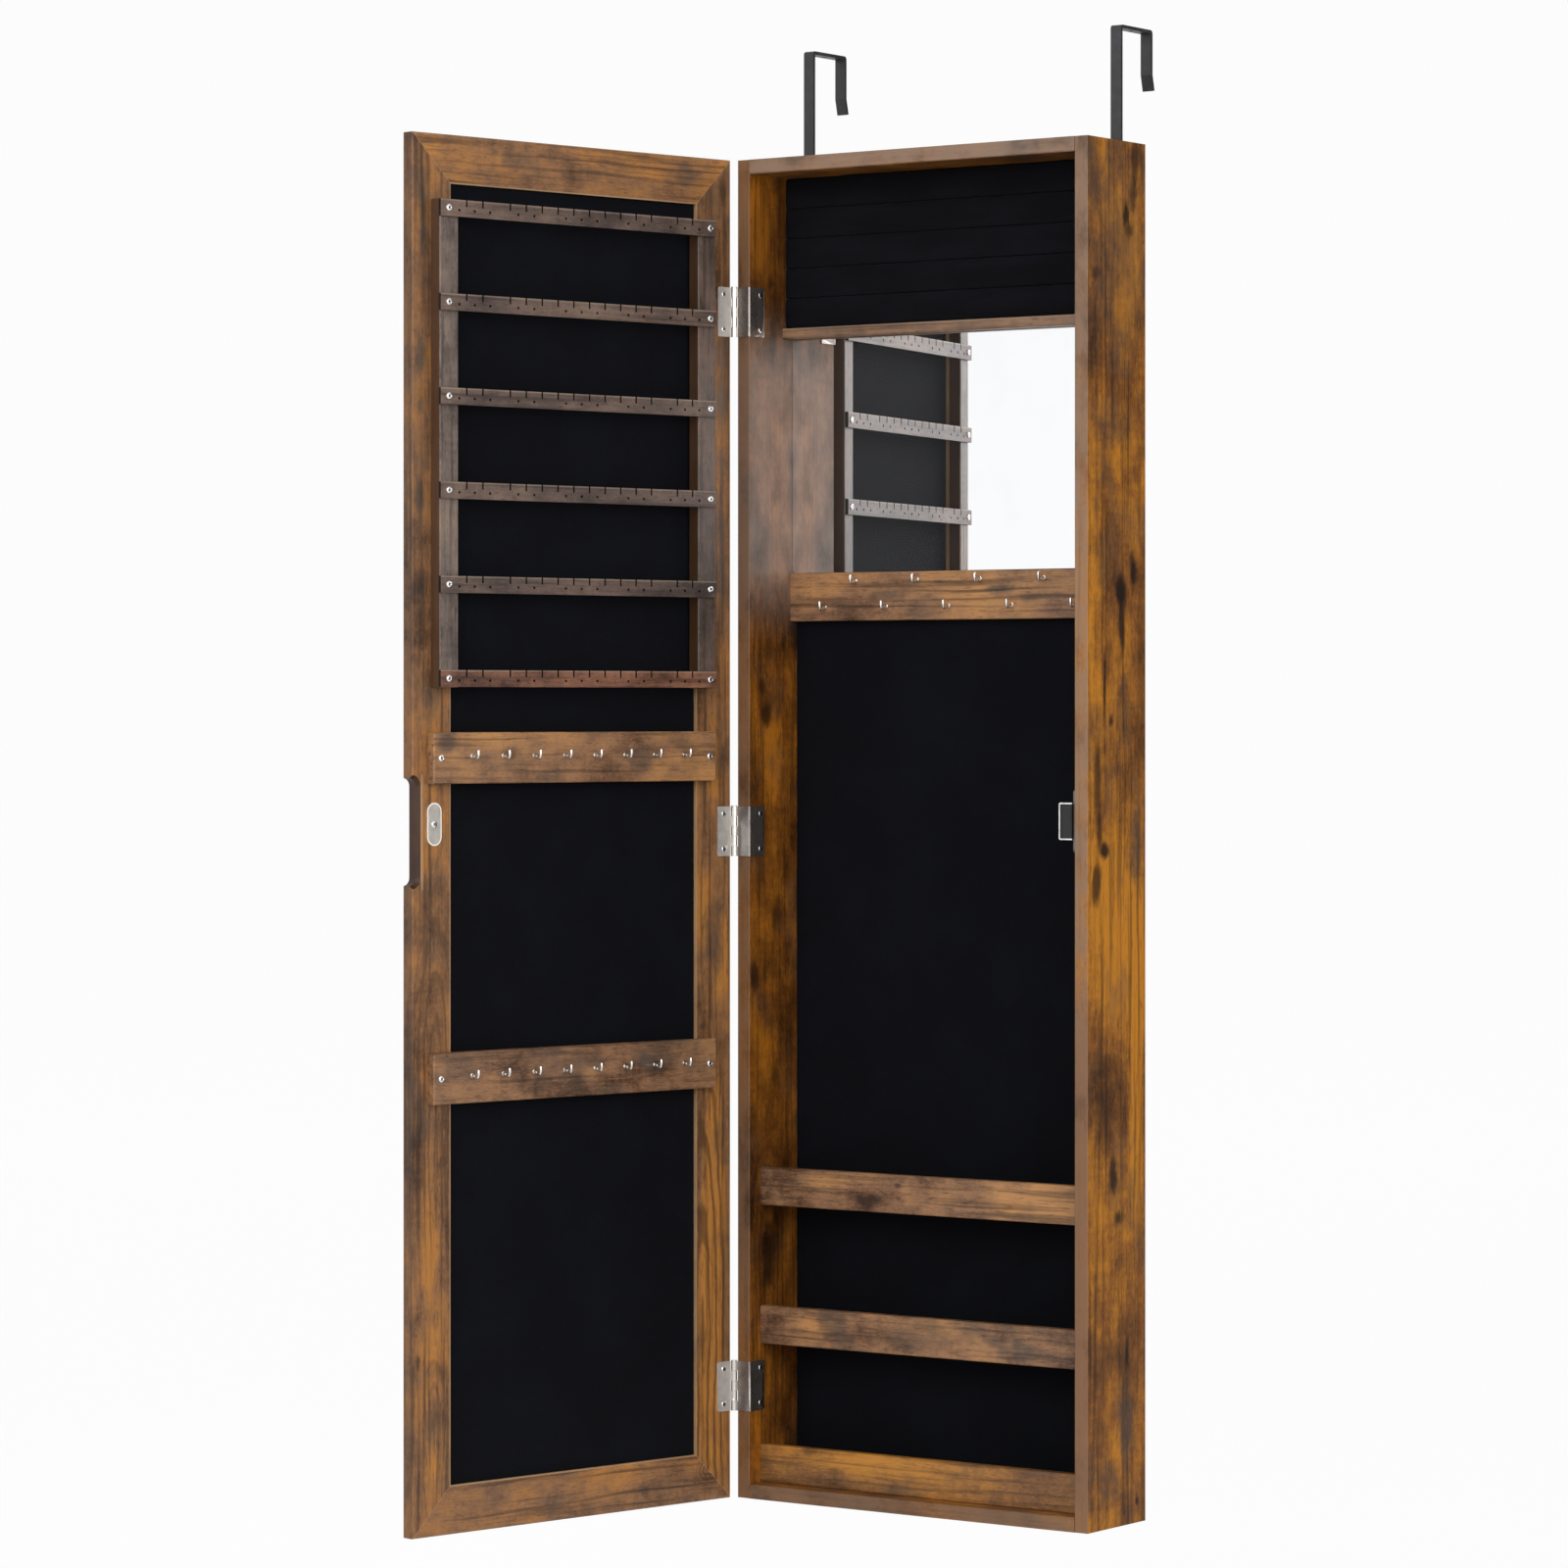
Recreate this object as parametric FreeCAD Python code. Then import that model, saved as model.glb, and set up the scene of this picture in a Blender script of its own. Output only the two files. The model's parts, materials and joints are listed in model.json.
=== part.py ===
import FreeCAD, Part
import os
from math import cos, sin, radians
from FreeCAD import Vector

# Jewelry mirror cabinet that hangs over a room door, shown with its mirror door swung open.
# Millimetres. +X to the viewer's right, +Y towards the room door, +Z up.
# Origin: top front edge of the room door, midway between the two over-door straps.

# ---- driving dimensions ------------------------------------------------------------------
# case
case_width = 368.0
case_height = 1200.0
case_depth = 96.0
board = 13.0                    # laminated board of the case
arris = 0.8                     # small bevel along the boards' front edges
rear_recess = 14.5              # back board's rear face to the case's rear plane
back_board_thick = 6.0
back_groove = 5.0               # depth of the groove that holds the back board
felt_thick = 1.0
fit_gap = 0.3                   # clearance of a board or panel in its groove
dowel_depths = (24.0, 59.5)     # front plane to the corner dowels
dowel_radius = 3.0
dowel_length = 30.0
dowel_in_side = 9.0
# over-door straps
strap_rise = 101.5              # case top to the underside of the strap's top run
strap_width = 10.5
strap_thick = 3.0
strap_side_gap = 3.0            # strap edge to the side panel's inner face
strap_bend_radius = 3.2         # outside radius of the two bends
room_door_thick = 35.0
room_door_gap = 1.0
strap_drop = 53.0               # rear leg, from the top of the run
strap_flare_length = 14.0
strap_flare_angle = 14.0
strap_hole_radius = 2.2
rail_height = 60.0              # hanging rail behind the back board
rail_screw_spread = 32.0
rail_screw_tip = 1.0            # wood left in front of the hanger screws' tips
# shelves and fittings inside the case
ring_bay_height = 135.6         # ring shelf to the underside of the top panel
ring_shelf_thick = 9.2
ring_shelf_width = 22.5         # shelf's front edge to the felt
cushion_thick = 18.3            # crown of the rolls to the felt
roll_count = 5
roll_crown = 2.6
slit_width = 0.9
slit_depth = 9.0
soft_gap = 0.3
inner_mirror_height = 211.8
glass_thick = 3.0
backing_thick = 4.2             # wood between the inner mirror and the felt
inner_board_height = 43.4
inner_board_thick = 10.1
guard_height = 34.0
guard_thick = 9.0
guard_depth = 17.5              # front plane to the guard rails
tray_pitch = 124.5
tray_thick = 6.0
# door
door_thick = 13.0
frame_width = 42.0
frame_lip = 3.0                 # lip each side of the groove that holds the glass stack
frame_groove = 6.0
frame_bevel = 1.0
notch_height = 92.0
notch_depth = 7.0
notch_below_strike = 6.5        # notch's middle below the strike plate's
notch_cove = 3.0                # widening of the notch on the inside face
notch_cove_depth = 5.0
spline_length = 22.0
spline_width = 12.0
spline_thick = 3.0
spline_inset = 14.0
spline_corner = 4.2
spline_gap = 0.1
# earring rack on the door
support_width = 20.6
support_thick = 12.0
hinge_support_inset = 39.6      # hinge side edge to the middle of the support
free_support_inset = 30.8       # free side edge to the middle of the support
support_past_bar = 7.7          # support's end beyond the last bar's middle
bar_count = 6
bar_height = 14.4
bar_thick = 3.0
bar_pitch = 80.4
top_bar_drop = 64.3             # door's top edge to the top bar's middle
bar_overhang = 10.2             # bar's end beyond the support's middle
bar_shift = 1.6                 # bars towards the free side
bar_screw_outset = 2.0
bar_screw_shift = 0.9
slot_pitch = 18.1
slot_width = 1.7
slot_cut = 5.8
slot_row = 10                   # slots in the bar's middle row
slot_pair_inset = 28.7          # bar's end to the first of its pair of slots
post_hole_radius = 1.3
post_hole_drop = 1.7            # below the bar's middle
post_hole_steps = (0, 1, 3, 4)  # slot pitches from the bar's middle
post_hole_insets = (20.5, 37.7, 54.9)
# hook boards on the door
hook_board_height = 44.0
hook_board_thick = 9.0
hook_board_overhang = 13.95     # board's end beyond the support's middle
hook_board_shift = 0.3
hook_board_screw_inset = 7.75
upper_hook_board_gap = 38.4     # below the supports' feet
hook_board_pitch = 274.0
# jewelry hooks
wire_radius = 1.1
wire_facets = 6                 # sides of hook wires and ear post holes
hook_stem = 4.4                 # straight wire out of the board
hook_cup_width = 7.1            # stem's end to the arm
hook_cup_steps = 4
hook_dip = 1.7                  # cup's lowest point below the stem
hook_rise = 5.7                 # arm's tip above the stem
hook_root = 6.0                 # wire inside the board
hook_pitch = 35.0
hook_count = 8
hook_above_middle = 1.8
hook_row_shift = -1.6
inner_hook_pitch = 33.2
inner_hook_count = 9
inner_hook_drops = (30.9, 7.4)  # the two rows below the board's top edge
# hinges
leaf_thick = 1.2
leaf_height = 44.5
leaf_reach = 16.5               # door edge to the leaf's far edge
leaf_wrap = 21.5                # cabinet leaf's length along the inner wall
leaf_corner = 1.6
upper_hinge_drop = 136.4        # case's top to the upper hinge's middle
middle_hinge_drop = 2.0         # case's middle to the middle hinge's middle
lower_hinge_gap = 14.85         # lower hinge's top end below the middle guard rail
knuckle_count = 5
knuckle_radius = 2.85
knuckle_facets = 14
knuckle_gap = 0.25
pin_radius = 1.45
pin_clearance = 0.05
pin_cap = 0.7
axis_out = 2.7                  # hinge axis beyond the door's edge
axis_half_gap = 1.5             # half of the gap between the closed door and the case
leaf_screw_spread = 31.4
leaf_screw_from_edge = 9.2
leaf_screw_depth = 15.8         # on the inner wall, from the front plane
open_angle = 102.0              # door as shown, from closed
# screws
screw_radius = 1.4
screw_head_radius = 2.6
screw_head_height = 1.2
screw_clearance = 0.05
pan_taper = 0.65                # top of a pan head to its rim
small_facets = 8                # sides of screws, dowels and their holes
leaf_screw_length = 9.0
fitting_screw_length = 17.0
strap_screw_radius = 2.0
strap_screw_head_radius = 3.8
# magnetic catch and its strike plate
catch_above_strike = 2.0        # catch's middle above the strike plate's
catch_flange_height = 55.0
catch_flange_thick = 1.5
catch_flange_corner = 3.0
catch_body_height = 32.0
catch_body_width = 13.5
catch_body_depth = 13.0
catch_body_corner = 1.6
catch_proud = 1.2               # bracket's edge in front of the case
catch_wall = 1.2
catch_screw_spread = 42.0
catch_screw_length = 8.0
pole_thick = 1.4
pole_proud = 0.3
strike_width = 15.8
strike_height = 37.0
strike_thick = 1.0
strike_inset = 23.5             # free side edge to the plate's middle
strike_gap = 16.1               # plate's top below the upper hook board

near = 1e-4                     # two planes or lengths this close are the same

# ---- derived planes, depths behind the front plane and heights above the case's underside ----
half_width = case_width / 2
inner_half = half_width - board
case_top = -strap_rise
case_bottom = case_top - case_height
front = -case_depth
back_rear = -rear_recess
back_face = back_rear - back_board_thick
felt_face = back_face - felt_thick
axis_x = -half_width - axis_out
axis_y = front - axis_half_gap
door_inner = front - 2 * axis_half_gap
door_outer = door_inner - door_thick
strap_middle = inner_half - strap_side_gap - strap_width / 2
strap_rear = room_door_thick + room_door_gap
door_axis = Vector(axis_x, axis_y, 0)

ring_shelf_top = case_height - board - ring_bay_height
inner_board_top = ring_shelf_top - ring_shelf_thick - inner_mirror_height
support_spread = case_width - hinge_support_inset - free_support_inset
rack_centre = hinge_support_inset + support_spread / 2
bar_length = support_spread + 2 * bar_overhang
bar_screw_spread = support_spread + 2 * bar_screw_outset
hook_board_length = support_spread + 2 * hook_board_overhang
hook_board_screw_spread = hook_board_length - 2 * hook_board_screw_inset
top_bar_middle = case_height - top_bar_drop
lowest_bar_middle = top_bar_middle - (bar_count - 1) * bar_pitch
support_bottom = lowest_bar_middle - support_past_bar
support_top = top_bar_middle + support_past_bar
upper_hook_board_middle = support_bottom - upper_hook_board_gap - hook_board_height / 2
hook_board_middles = (upper_hook_board_middle, upper_hook_board_middle - hook_board_pitch)
strike_middle = upper_hook_board_middle - hook_board_height / 2 - strike_gap - strike_height / 2
catch_middle = strike_middle + catch_above_strike
notch_middle = strike_middle - notch_below_strike
hinge_middles = (case_height - upper_hinge_drop,
                 case_height / 2 - middle_hinge_drop,
                 board + tray_pitch - lower_hinge_gap - leaf_height / 2)

os.makedirs("parts", exist_ok=True)


# ---- helpers -----------------------------------------------------------------------------
def height(above_bottom):
    """Height above the case's underside, as a Z value."""
    return case_bottom + above_bottom


def depth(behind_front):
    """Distance behind the case's front plane, as a Y value."""
    return front + behind_front


def box(x0, x1, y0, y1, z0, z1):
    return Part.makeBox(x1 - x0, y1 - y0, z1 - z0, Vector(x0, y0, z0))


def rod(radius, start, direction, length):
    return Part.makeCylinder(radius, length, start, direction)


def face_of(edges):
    return Part.Face(Part.Wire(edges))


def polygon(points):
    return Part.Face(Part.makePolygon(points + [points[0]]))


def ring_points(radius, centre, direction, sides=small_facets):
    """Corners of a regular polygon square to direction, for small pieces that repeat."""
    turn = FreeCAD.Rotation(Vector(0, 0, 1), direction)
    points = []
    for index in range(sides):
        angle = radians((index + 0.5) * 360 / sides)
        points.append(centre + turn.multVec(Vector(radius * cos(angle), radius * sin(angle), 0)))
    return points


def small_rod(radius, start, direction, length, sides=small_facets):
    return polygon(ring_points(radius, start, direction, sides)).extrude(direction * length)


def small_cone(radius_0, radius_1, length, start, direction):
    low = ring_points(radius_0, start, direction)
    high = ring_points(radius_1, start + direction * length, direction)
    faces = [polygon(low), polygon(high)]
    for index in range(small_facets):
        after = (index + 1) % small_facets
        faces.append(polygon([low[index], low[after], high[after], high[index]]))
    return Part.makeSolid(Part.makeShell(faces))


def bevel_edges(shape, size, chosen):
    """Bevel the straight edges for which chosen(edge) is true."""
    edges = [edge for edge in shape.Edges if chosen(edge)]
    return shape.makeChamfer(size, edges)


def edge_on(edge, **planes):
    """True when both ends of the edge lie on all of the named planes, such as y=front."""
    for vertex in edge.Vertexes:
        for name, value in planes.items():
            if abs(getattr(vertex, name.upper()) - value) > near:
                return False
    return True


def long_as(edge, length):
    return abs(edge.Length - length) < near


def swing(shape):
    """Turn a piece from the closed door to the open one that is shown."""
    return shape.rotated(door_axis, Vector(0, 0, 1), -open_angle)


def save(name, *solids):
    shape = solids[0] if len(solids) == 1 else Part.makeCompound(list(solids))
    if not shape.isValid():
        raise ValueError(name + " is not a valid shape")
    shape.exportStep("parts/" + name + ".step")


def countersunk_screw(seat, direction, length, grow=0.0):
    """Flush screw: its head's flat lies at seat and its shank runs along direction."""
    neck = seat + direction * screw_head_height
    head = small_cone(screw_head_radius + grow, screw_radius + grow, screw_head_height, seat, direction)
    shank = small_rod(screw_radius + grow, neck, direction, length - screw_head_height + grow)
    return head.fuse(shank)


def countersunk_hole(seat, direction, length):
    return countersunk_screw(seat, direction, length, screw_clearance)


def pan_screw(seat, direction, length, radius, head_radius, head_height):
    """Screw with a low tapered head that stands on seat, its shank along direction."""
    head = small_cone(head_radius, pan_taper * head_radius, head_height, seat, -direction)
    return head.fuse(small_rod(radius, seat, direction, length))


def screw_hole(seat, direction, length, radius):
    return small_rod(radius + screw_clearance, seat, direction, length + screw_clearance)


# ---- case boards -------------------------------------------------------------------------
def corner_dowels():
    """Two dowels in each corner of the case, from the side panels into the end panels."""
    dowels = []
    for side in (-1, 1):
        for z in (case_top - board / 2, case_bottom + board / 2):
            for dowel_depth in dowel_depths:
                start = Vector(side * (inner_half + dowel_in_side), depth(dowel_depth), z)
                dowels.append(small_rod(dowel_radius, start, Vector(-side, 0, 0), dowel_length))
    return dowels


def back_board():
    reach = inner_half + back_groove - fit_gap
    z0 = case_bottom + board - back_groove + fit_gap
    z1 = case_top - board + back_groove - fit_gap
    return box(-reach, reach, back_face, back_rear, z0, z1)


def back_board_groove():
    reach = inner_half + back_groove
    z0 = case_bottom + board - back_groove
    z1 = case_top - board + back_groove
    return box(-reach, reach, back_face, back_rear, z0, z1)


def side_panel(side):
    x0, x1 = sorted((side * inner_half, side * half_width))
    panel = box(x0, x1, front, 0, case_bottom, case_top)
    panel = bevel_edges(panel, arris, lambda e: edge_on(e, y=front))
    panel = panel.cut(back_board_groove())
    for dowel in corner_dowels():
        panel = panel.cut(dowel)
    return panel


def end_panel(z0, z1):
    panel = box(-inner_half, inner_half, front, 0, z0, z1)
    inner_z = z1 if z0 == case_bottom else z0
    panel = bevel_edges(panel, arris, lambda e: edge_on(e, y=front, z=inner_z))
    panel = panel.cut(back_board_groove())
    for dowel in corner_dowels():
        panel = panel.cut(dowel)
    return panel


def top_panel():
    """The top board, notched at the rear where the straps pass."""
    panel = end_panel(case_top - board, case_top)
    for side in (-1, 1):
        x0 = side * strap_middle - strap_width / 2 - fit_gap
        notch = box(x0, x0 + strap_width + 2 * fit_gap, back_rear, 0, case_top - board, case_top)
        panel = panel.cut(notch)
    return panel


def back_felt():
    gap = fit_gap
    z0 = case_bottom + board + gap
    z1 = case_top - board - gap
    return box(-inner_half + gap, inner_half - gap, felt_face, back_face, z0, z1)


# ---- over-door straps and the rail that clamps them ---------------------------------------
def strap_screw_heights():
    middle = case_top - board - rail_height / 2
    return (middle - rail_screw_spread / 2, middle + rail_screw_spread / 2)


def hanger_strap(side):
    """Flat strap bent over the room door: long front leg, top run, short flared rear leg."""
    y_front = back_rear
    y_rear = strap_rear + strap_thick
    flare = radians(strap_flare_angle)
    knee_z = strap_thick - strap_drop + strap_flare_length
    toe = Vector(0, y_rear + strap_flare_length * sin(flare), knee_z - strap_flare_length * cos(flare))
    inward = Vector(0, -strap_thick * cos(flare), -strap_thick * sin(flare))
    foot_z = case_top - board - rail_height
    outline = [
        Vector(0, y_front, foot_z),
        Vector(0, y_front, strap_thick),
        Vector(0, y_rear, strap_thick),
        Vector(0, y_rear, knee_z),
        toe,
        toe + inward,
        Vector(0, strap_rear, knee_z),
        Vector(0, strap_rear, 0),
        Vector(0, y_front + strap_thick, 0),
        Vector(0, y_front + strap_thick, foot_z),
    ]
    strap = polygon(outline).extrude(Vector(strap_width, 0, 0))
    strap.translate(Vector(side * strap_middle - strap_width / 2, 0, 0))

    def bend(edge, y, z):
        return edge_on(edge, y=y, z=z) and long_as(edge, strap_width)

    outer = [e for e in strap.Edges if bend(e, y_front, strap_thick) or bend(e, y_rear, strap_thick)]
    strap = strap.makeFillet(strap_bend_radius, outer)
    knees = [e for e in strap.Edges if bend(e, y_rear, knee_z) or bend(e, strap_rear, knee_z)]
    strap = strap.makeFillet(strap_bend_radius, knees)
    hole_y = (y_front + strap_rear) / 2
    down = Vector(0, 0, -1)
    hole_top = Vector(side * strap_middle, hole_y, strap_thick)
    strap = strap.cut(small_rod(strap_hole_radius, hole_top, down, strap_thick))
    for z in strap_screw_heights():
        seat = Vector(side * strap_middle, y_front, z)
        strap = strap.cut(small_rod(strap_hole_radius, seat, Vector(0, 1, 0), strap_thick))
    return strap


def hanging_rail():
    """Board behind the back board, grooved for the straps and bored for their screws."""
    z1 = case_top - board
    z0 = z1 - rail_height
    rearward = Vector(0, 1, 0)
    rail = box(-inner_half, inner_half, back_rear, 0, z0, z1)
    for side in (-1, 1):
        x0 = side * strap_middle - strap_width / 2 - fit_gap
        x1 = x0 + strap_width + 2 * fit_gap
        rail = rail.cut(box(x0, x1, back_rear, back_rear + strap_thick, z0, z1))
    for seat in hanger_screw_seats():
        hole_start = Vector(seat.x, back_rear, seat.z)
        rail = rail.cut(small_rod(strap_hole_radius, hole_start, rearward, rear_recess))
        rail = rail.cut(small_rod(strap_screw_head_radius + fit_gap, seat, rearward, strap_thick))
    return rail


def hanger_screw_seats():
    """Where the screw heads lie in the rail's counterbores."""
    return [Vector(side * strap_middle, -strap_thick, z)
            for side in (-1, 1) for z in strap_screw_heights()]


def hanger_screw_length():
    return rear_recess - strap_thick + back_board_thick - rail_screw_tip


def hanger_screws():
    forward = Vector(0, -1, 0)
    return [pan_screw(seat, forward, hanger_screw_length(), strap_screw_radius,
                      strap_screw_head_radius, strap_screw_radius) for seat in hanger_screw_seats()]


def hanger_screw_holes():
    forward = Vector(0, -1, 0)
    return Part.makeCompound([screw_hole(seat, forward, hanger_screw_length(), strap_screw_radius)
                              for seat in hanger_screw_seats()])


# ---- inside of the case ------------------------------------------------------------------
def inner_board(z0, z1, y0, y1):
    """A board across the inside of the case with its two front edges bevelled."""
    shape = box(-inner_half, inner_half, y0, y1, z0, z1)
    return bevel_edges(shape, arris, lambda e: edge_on(e, y=y0) and e.Length > inner_half)


def ring_cushion():
    """Foam ring holder: a row of crowned rolls with a slit between each two."""
    z0 = height(ring_shelf_top) + soft_gap
    z1 = case_top - board - soft_gap
    roll = (z1 - z0) / roll_count
    x0 = -inner_half + soft_gap
    crown = felt_face - cushion_thick
    valley = crown + roll_crown
    rear = felt_face - soft_gap
    edges = []
    for index in range(roll_count):
        low = Vector(x0, valley, z0 + index * roll)
        high = Vector(x0, valley, z0 + (index + 1) * roll)
        edges.append(Part.Arc(low, Vector(x0, crown, (low.z + high.z) / 2), high).toShape())
    edges += [Part.makeLine(Vector(x0, valley, z1), Vector(x0, rear, z1)),
              Part.makeLine(Vector(x0, rear, z1), Vector(x0, rear, z0)),
              Part.makeLine(Vector(x0, rear, z0), Vector(x0, valley, z0))]
    length = 2 * (inner_half - soft_gap)
    cushion = face_of(edges).extrude(Vector(length, 0, 0))
    for index in range(1, roll_count):
        z = z0 + index * roll
        cushion = cushion.cut(box(x0, x0 + length, valley - roll_crown, valley + slit_depth,
                                  z - slit_width / 2, z + slit_width / 2))
    return cushion


def hook(base, outward):
    """Bent wire hook: stem out of the board, dipping cup, rising arm."""
    bends = [(-hook_root, 0)]
    for step in range(hook_cup_steps + 1):
        turn = radians(step * 180 / hook_cup_steps)
        bends.append((hook_stem + hook_cup_width * (1 - cos(turn)) / 2, -hook_dip * sin(turn)))
    bends.append((hook_stem + hook_cup_width, hook_rise))
    path = Part.makePolygon([base + outward * reach + Vector(0, 0, z) for reach, z in bends])
    corners = ring_points(wire_radius, base - outward * hook_root, outward, wire_facets)
    section = Part.makePolygon(corners + [corners[0]])
    mitred_corners = 1
    return path.makePipeShell([section], True, False, mitred_corners)


def hook_hole(base, outward):
    root = hook_root + screw_clearance
    return small_rod(wire_radius + screw_clearance, base - outward * root, outward, root, wire_facets)


def inner_hook_bases():
    """Nine hooks in two staggered rows, the lower row starting at the ends."""
    first = -(inner_hook_count - 1) / 2 * inner_hook_pitch
    y = felt_face - inner_board_thick
    top = height(inner_board_top)
    return [Vector(first + index * inner_hook_pitch, y, top - inner_hook_drops[index % 2])
            for index in range(inner_hook_count)]


def inner_hook_board():
    top = height(inner_board_top)
    shape = inner_board(top - inner_board_height, top, felt_face - inner_board_thick, felt_face)
    for base in inner_hook_bases():
        shape = shape.cut(hook_hole(base, Vector(0, -1, 0)))
    return shape


def mirror_bay_panel(y0, y1):
    """A panel of the inner mirror, between the hook board and the ring shelf."""
    reach = inner_half - fit_gap
    z0 = height(inner_board_top) + fit_gap
    z1 = height(ring_shelf_top - ring_shelf_thick) - fit_gap
    return box(-reach, reach, y0, y1, z0, z1)


def guard_rail(step):
    z0 = case_bottom + board + step * tray_pitch
    return inner_board(z0, z0 + guard_height, depth(guard_depth), depth(guard_depth + guard_thick))


def tray_shelf(step):
    z0 = case_bottom + board + step * tray_pitch
    return box(-inner_half, inner_half, depth(guard_depth + guard_thick), felt_face, z0, z0 + tray_thick)


# ---- magnetic catch ----------------------------------------------------------------------
def catch_bracket():
    """Bent steel bracket: flange on the side wall and a three-walled box for the magnet."""
    middle = height(catch_middle)
    wall_x = inner_half
    body_x = wall_x - catch_flange_thick - catch_body_width
    y0 = front - catch_proud
    flange = box(wall_x - catch_flange_thick, wall_x, depth(arris), depth(arris + catch_body_depth),
                 middle - catch_flange_height / 2, middle + catch_flange_height / 2)
    flange_corners = [edge for edge in flange.Edges if long_as(edge, catch_flange_thick)]
    flange = flange.makeFillet(catch_flange_corner, flange_corners)
    z0 = middle - catch_body_height / 2
    z1 = middle + catch_body_height / 2
    shell = box(body_x, wall_x - catch_flange_thick, y0, y0 + catch_body_depth, z0, z1)
    corners = [edge for edge in shell.Edges
               if edge_on(edge, x=body_x, z=z0) or edge_on(edge, x=body_x, z=z1)]
    shell = shell.makeFillet(catch_body_corner, corners)
    hollow = box(body_x + catch_wall, wall_x - catch_flange_thick, y0, y0 + catch_body_depth,
                 z0 + catch_wall, z1 - catch_wall)
    bracket = flange.fuse(shell.cut(hollow)).removeSplitter()
    for seat in catch_screw_seats():
        bracket = bracket.cut(countersunk_hole(seat, Vector(1, 0, 0), catch_screw_length))
    return bracket


def catch_screw_seats():
    x = inner_half - catch_flange_thick
    y = depth(arris + catch_body_depth / 2)
    middle = height(catch_middle)
    return [Vector(x, y, middle + side * catch_screw_spread / 2) for side in (-1, 1)]


def catch_core(x0, x1, proud):
    """A block of the catch's core, from x0 to x1 inside the bracket."""
    middle = height(catch_middle)
    half = catch_body_height / 2 - catch_wall - fit_gap
    y0 = front - catch_proud
    return box(x0, x1, y0 - proud, y0 + catch_body_depth, middle - half, middle + half)


def catch_magnet_and_poles():
    x0 = inner_half - catch_flange_thick - catch_body_width + catch_wall + fit_gap
    x1 = inner_half - catch_flange_thick - fit_gap
    magnet = catch_core(x0 + pole_thick, x1 - pole_thick, 0)
    poles = [catch_core(x0, x0 + pole_thick, pole_proud), catch_core(x1 - pole_thick, x1, pole_proud)]
    return magnet, poles


# ---- door frame, modelled closed and then swung open ---------------------------------------
def door_x(from_hinge_edge):
    return -half_width + from_hinge_edge


def frame_stile(side):
    """Mitred upright of the door frame with its groove; side -1 carries the hinges."""
    outer = side * half_width
    inner = side * (half_width - frame_width)
    z0, z1 = case_bottom, case_top
    outline = [Vector(outer, door_outer, z0), Vector(outer, door_outer, z1),
               Vector(inner, door_outer, z1 - frame_width), Vector(inner, door_outer, z0 + frame_width)]
    stile = polygon(outline).extrude(Vector(0, door_thick, 0))
    stile = bevel_edges(stile, frame_bevel, lambda e: edge_on(e, x=outer) and e.Length > frame_width)
    return stile.cut(frame_groove_block())


def frame_rail(z_outer, z_inner):
    outline = [Vector(-half_width, door_outer, z_outer), Vector(half_width, door_outer, z_outer),
               Vector(half_width - frame_width, door_outer, z_inner),
               Vector(-half_width + frame_width, door_outer, z_inner)]
    rail = polygon(outline).extrude(Vector(0, door_thick, 0))
    rail = bevel_edges(rail, frame_bevel, lambda e: edge_on(e, z=z_outer) and e.Length > frame_width)
    return rail.cut(frame_groove_block())


def frame_groove_block():
    """The space of the glass, backing and felt inside the frame's groove."""
    inset = frame_width - frame_groove
    return box(-half_width + inset, half_width - inset, door_outer + frame_lip, door_inner - frame_lip,
               case_bottom + inset, case_top - inset)


def door_panel(y0, y1):
    inset = frame_width - frame_groove + fit_gap
    return box(-half_width + inset, half_width - inset, y0, y1, case_bottom + inset, case_top - inset)


def notch_outline(y, grow):
    """Half-stadium outline of the finger notch at depth y, grown all round by grow."""
    deep = notch_depth + grow
    z0 = height(notch_middle) - notch_height / 2 - grow
    z1 = height(notch_middle) + notch_height / 2 + grow
    edge = half_width
    a = deep * sin(radians(45))
    points = [Vector(edge, y, z0), Vector(edge - a, y, z0 + deep - a), Vector(edge - deep, y, z0 + deep),
              Vector(edge - deep, y, z1 - deep), Vector(edge - a, y, z1 - deep + a), Vector(edge, y, z1)]
    beyond = Vector(2 * frame_bevel, 0, 0)
    return Part.Wire([Part.Arc(points[0], points[1], points[2]).toShape(),
                      Part.makeLine(points[2], points[3]),
                      Part.Arc(points[3], points[4], points[5]).toShape(),
                      Part.makeLine(points[5], points[5] + beyond),
                      Part.makeLine(points[5] + beyond, points[0] + beyond),
                      Part.makeLine(points[0] + beyond, points[0])])


def finger_notch():
    """Cutter for the finger pull: straight through, with a cove opening on the inside face."""
    through = Part.Face(notch_outline(door_outer, 0)).extrude(Vector(0, door_thick, 0))
    cove = Part.makeLoft([notch_outline(door_inner - notch_cove_depth, 0),
                          notch_outline(door_inner, notch_cove)], True, True)
    return through.fuse(cove)


def corner_spline(side, end, grow=0.0):
    """Flat biscuit across a mitre of the frame, with its corners cut off."""
    corner_z = case_top if end > 0 else case_bottom
    centre = Vector(side * (half_width - spline_inset), (door_outer + door_inner) / 2,
                    corner_z - end * spline_inset)
    length = spline_length + 2 * grow
    width = spline_width + 2 * grow
    thick = spline_thick + 2 * grow
    block = box(-length / 2, length / 2, -thick / 2, thick / 2, -width / 2, width / 2)
    block = bevel_edges(block, spline_corner, lambda e: long_as(e, thick))
    block = block.rotated(Vector(0, 0, 0), Vector(0, 1, 0), -45 * side * end)
    block.translate(centre)
    return block


def corner_splines(grow=0.0):
    return [corner_spline(side, end, grow) for side in (-1, 1) for end in (-1, 1)]


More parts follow.
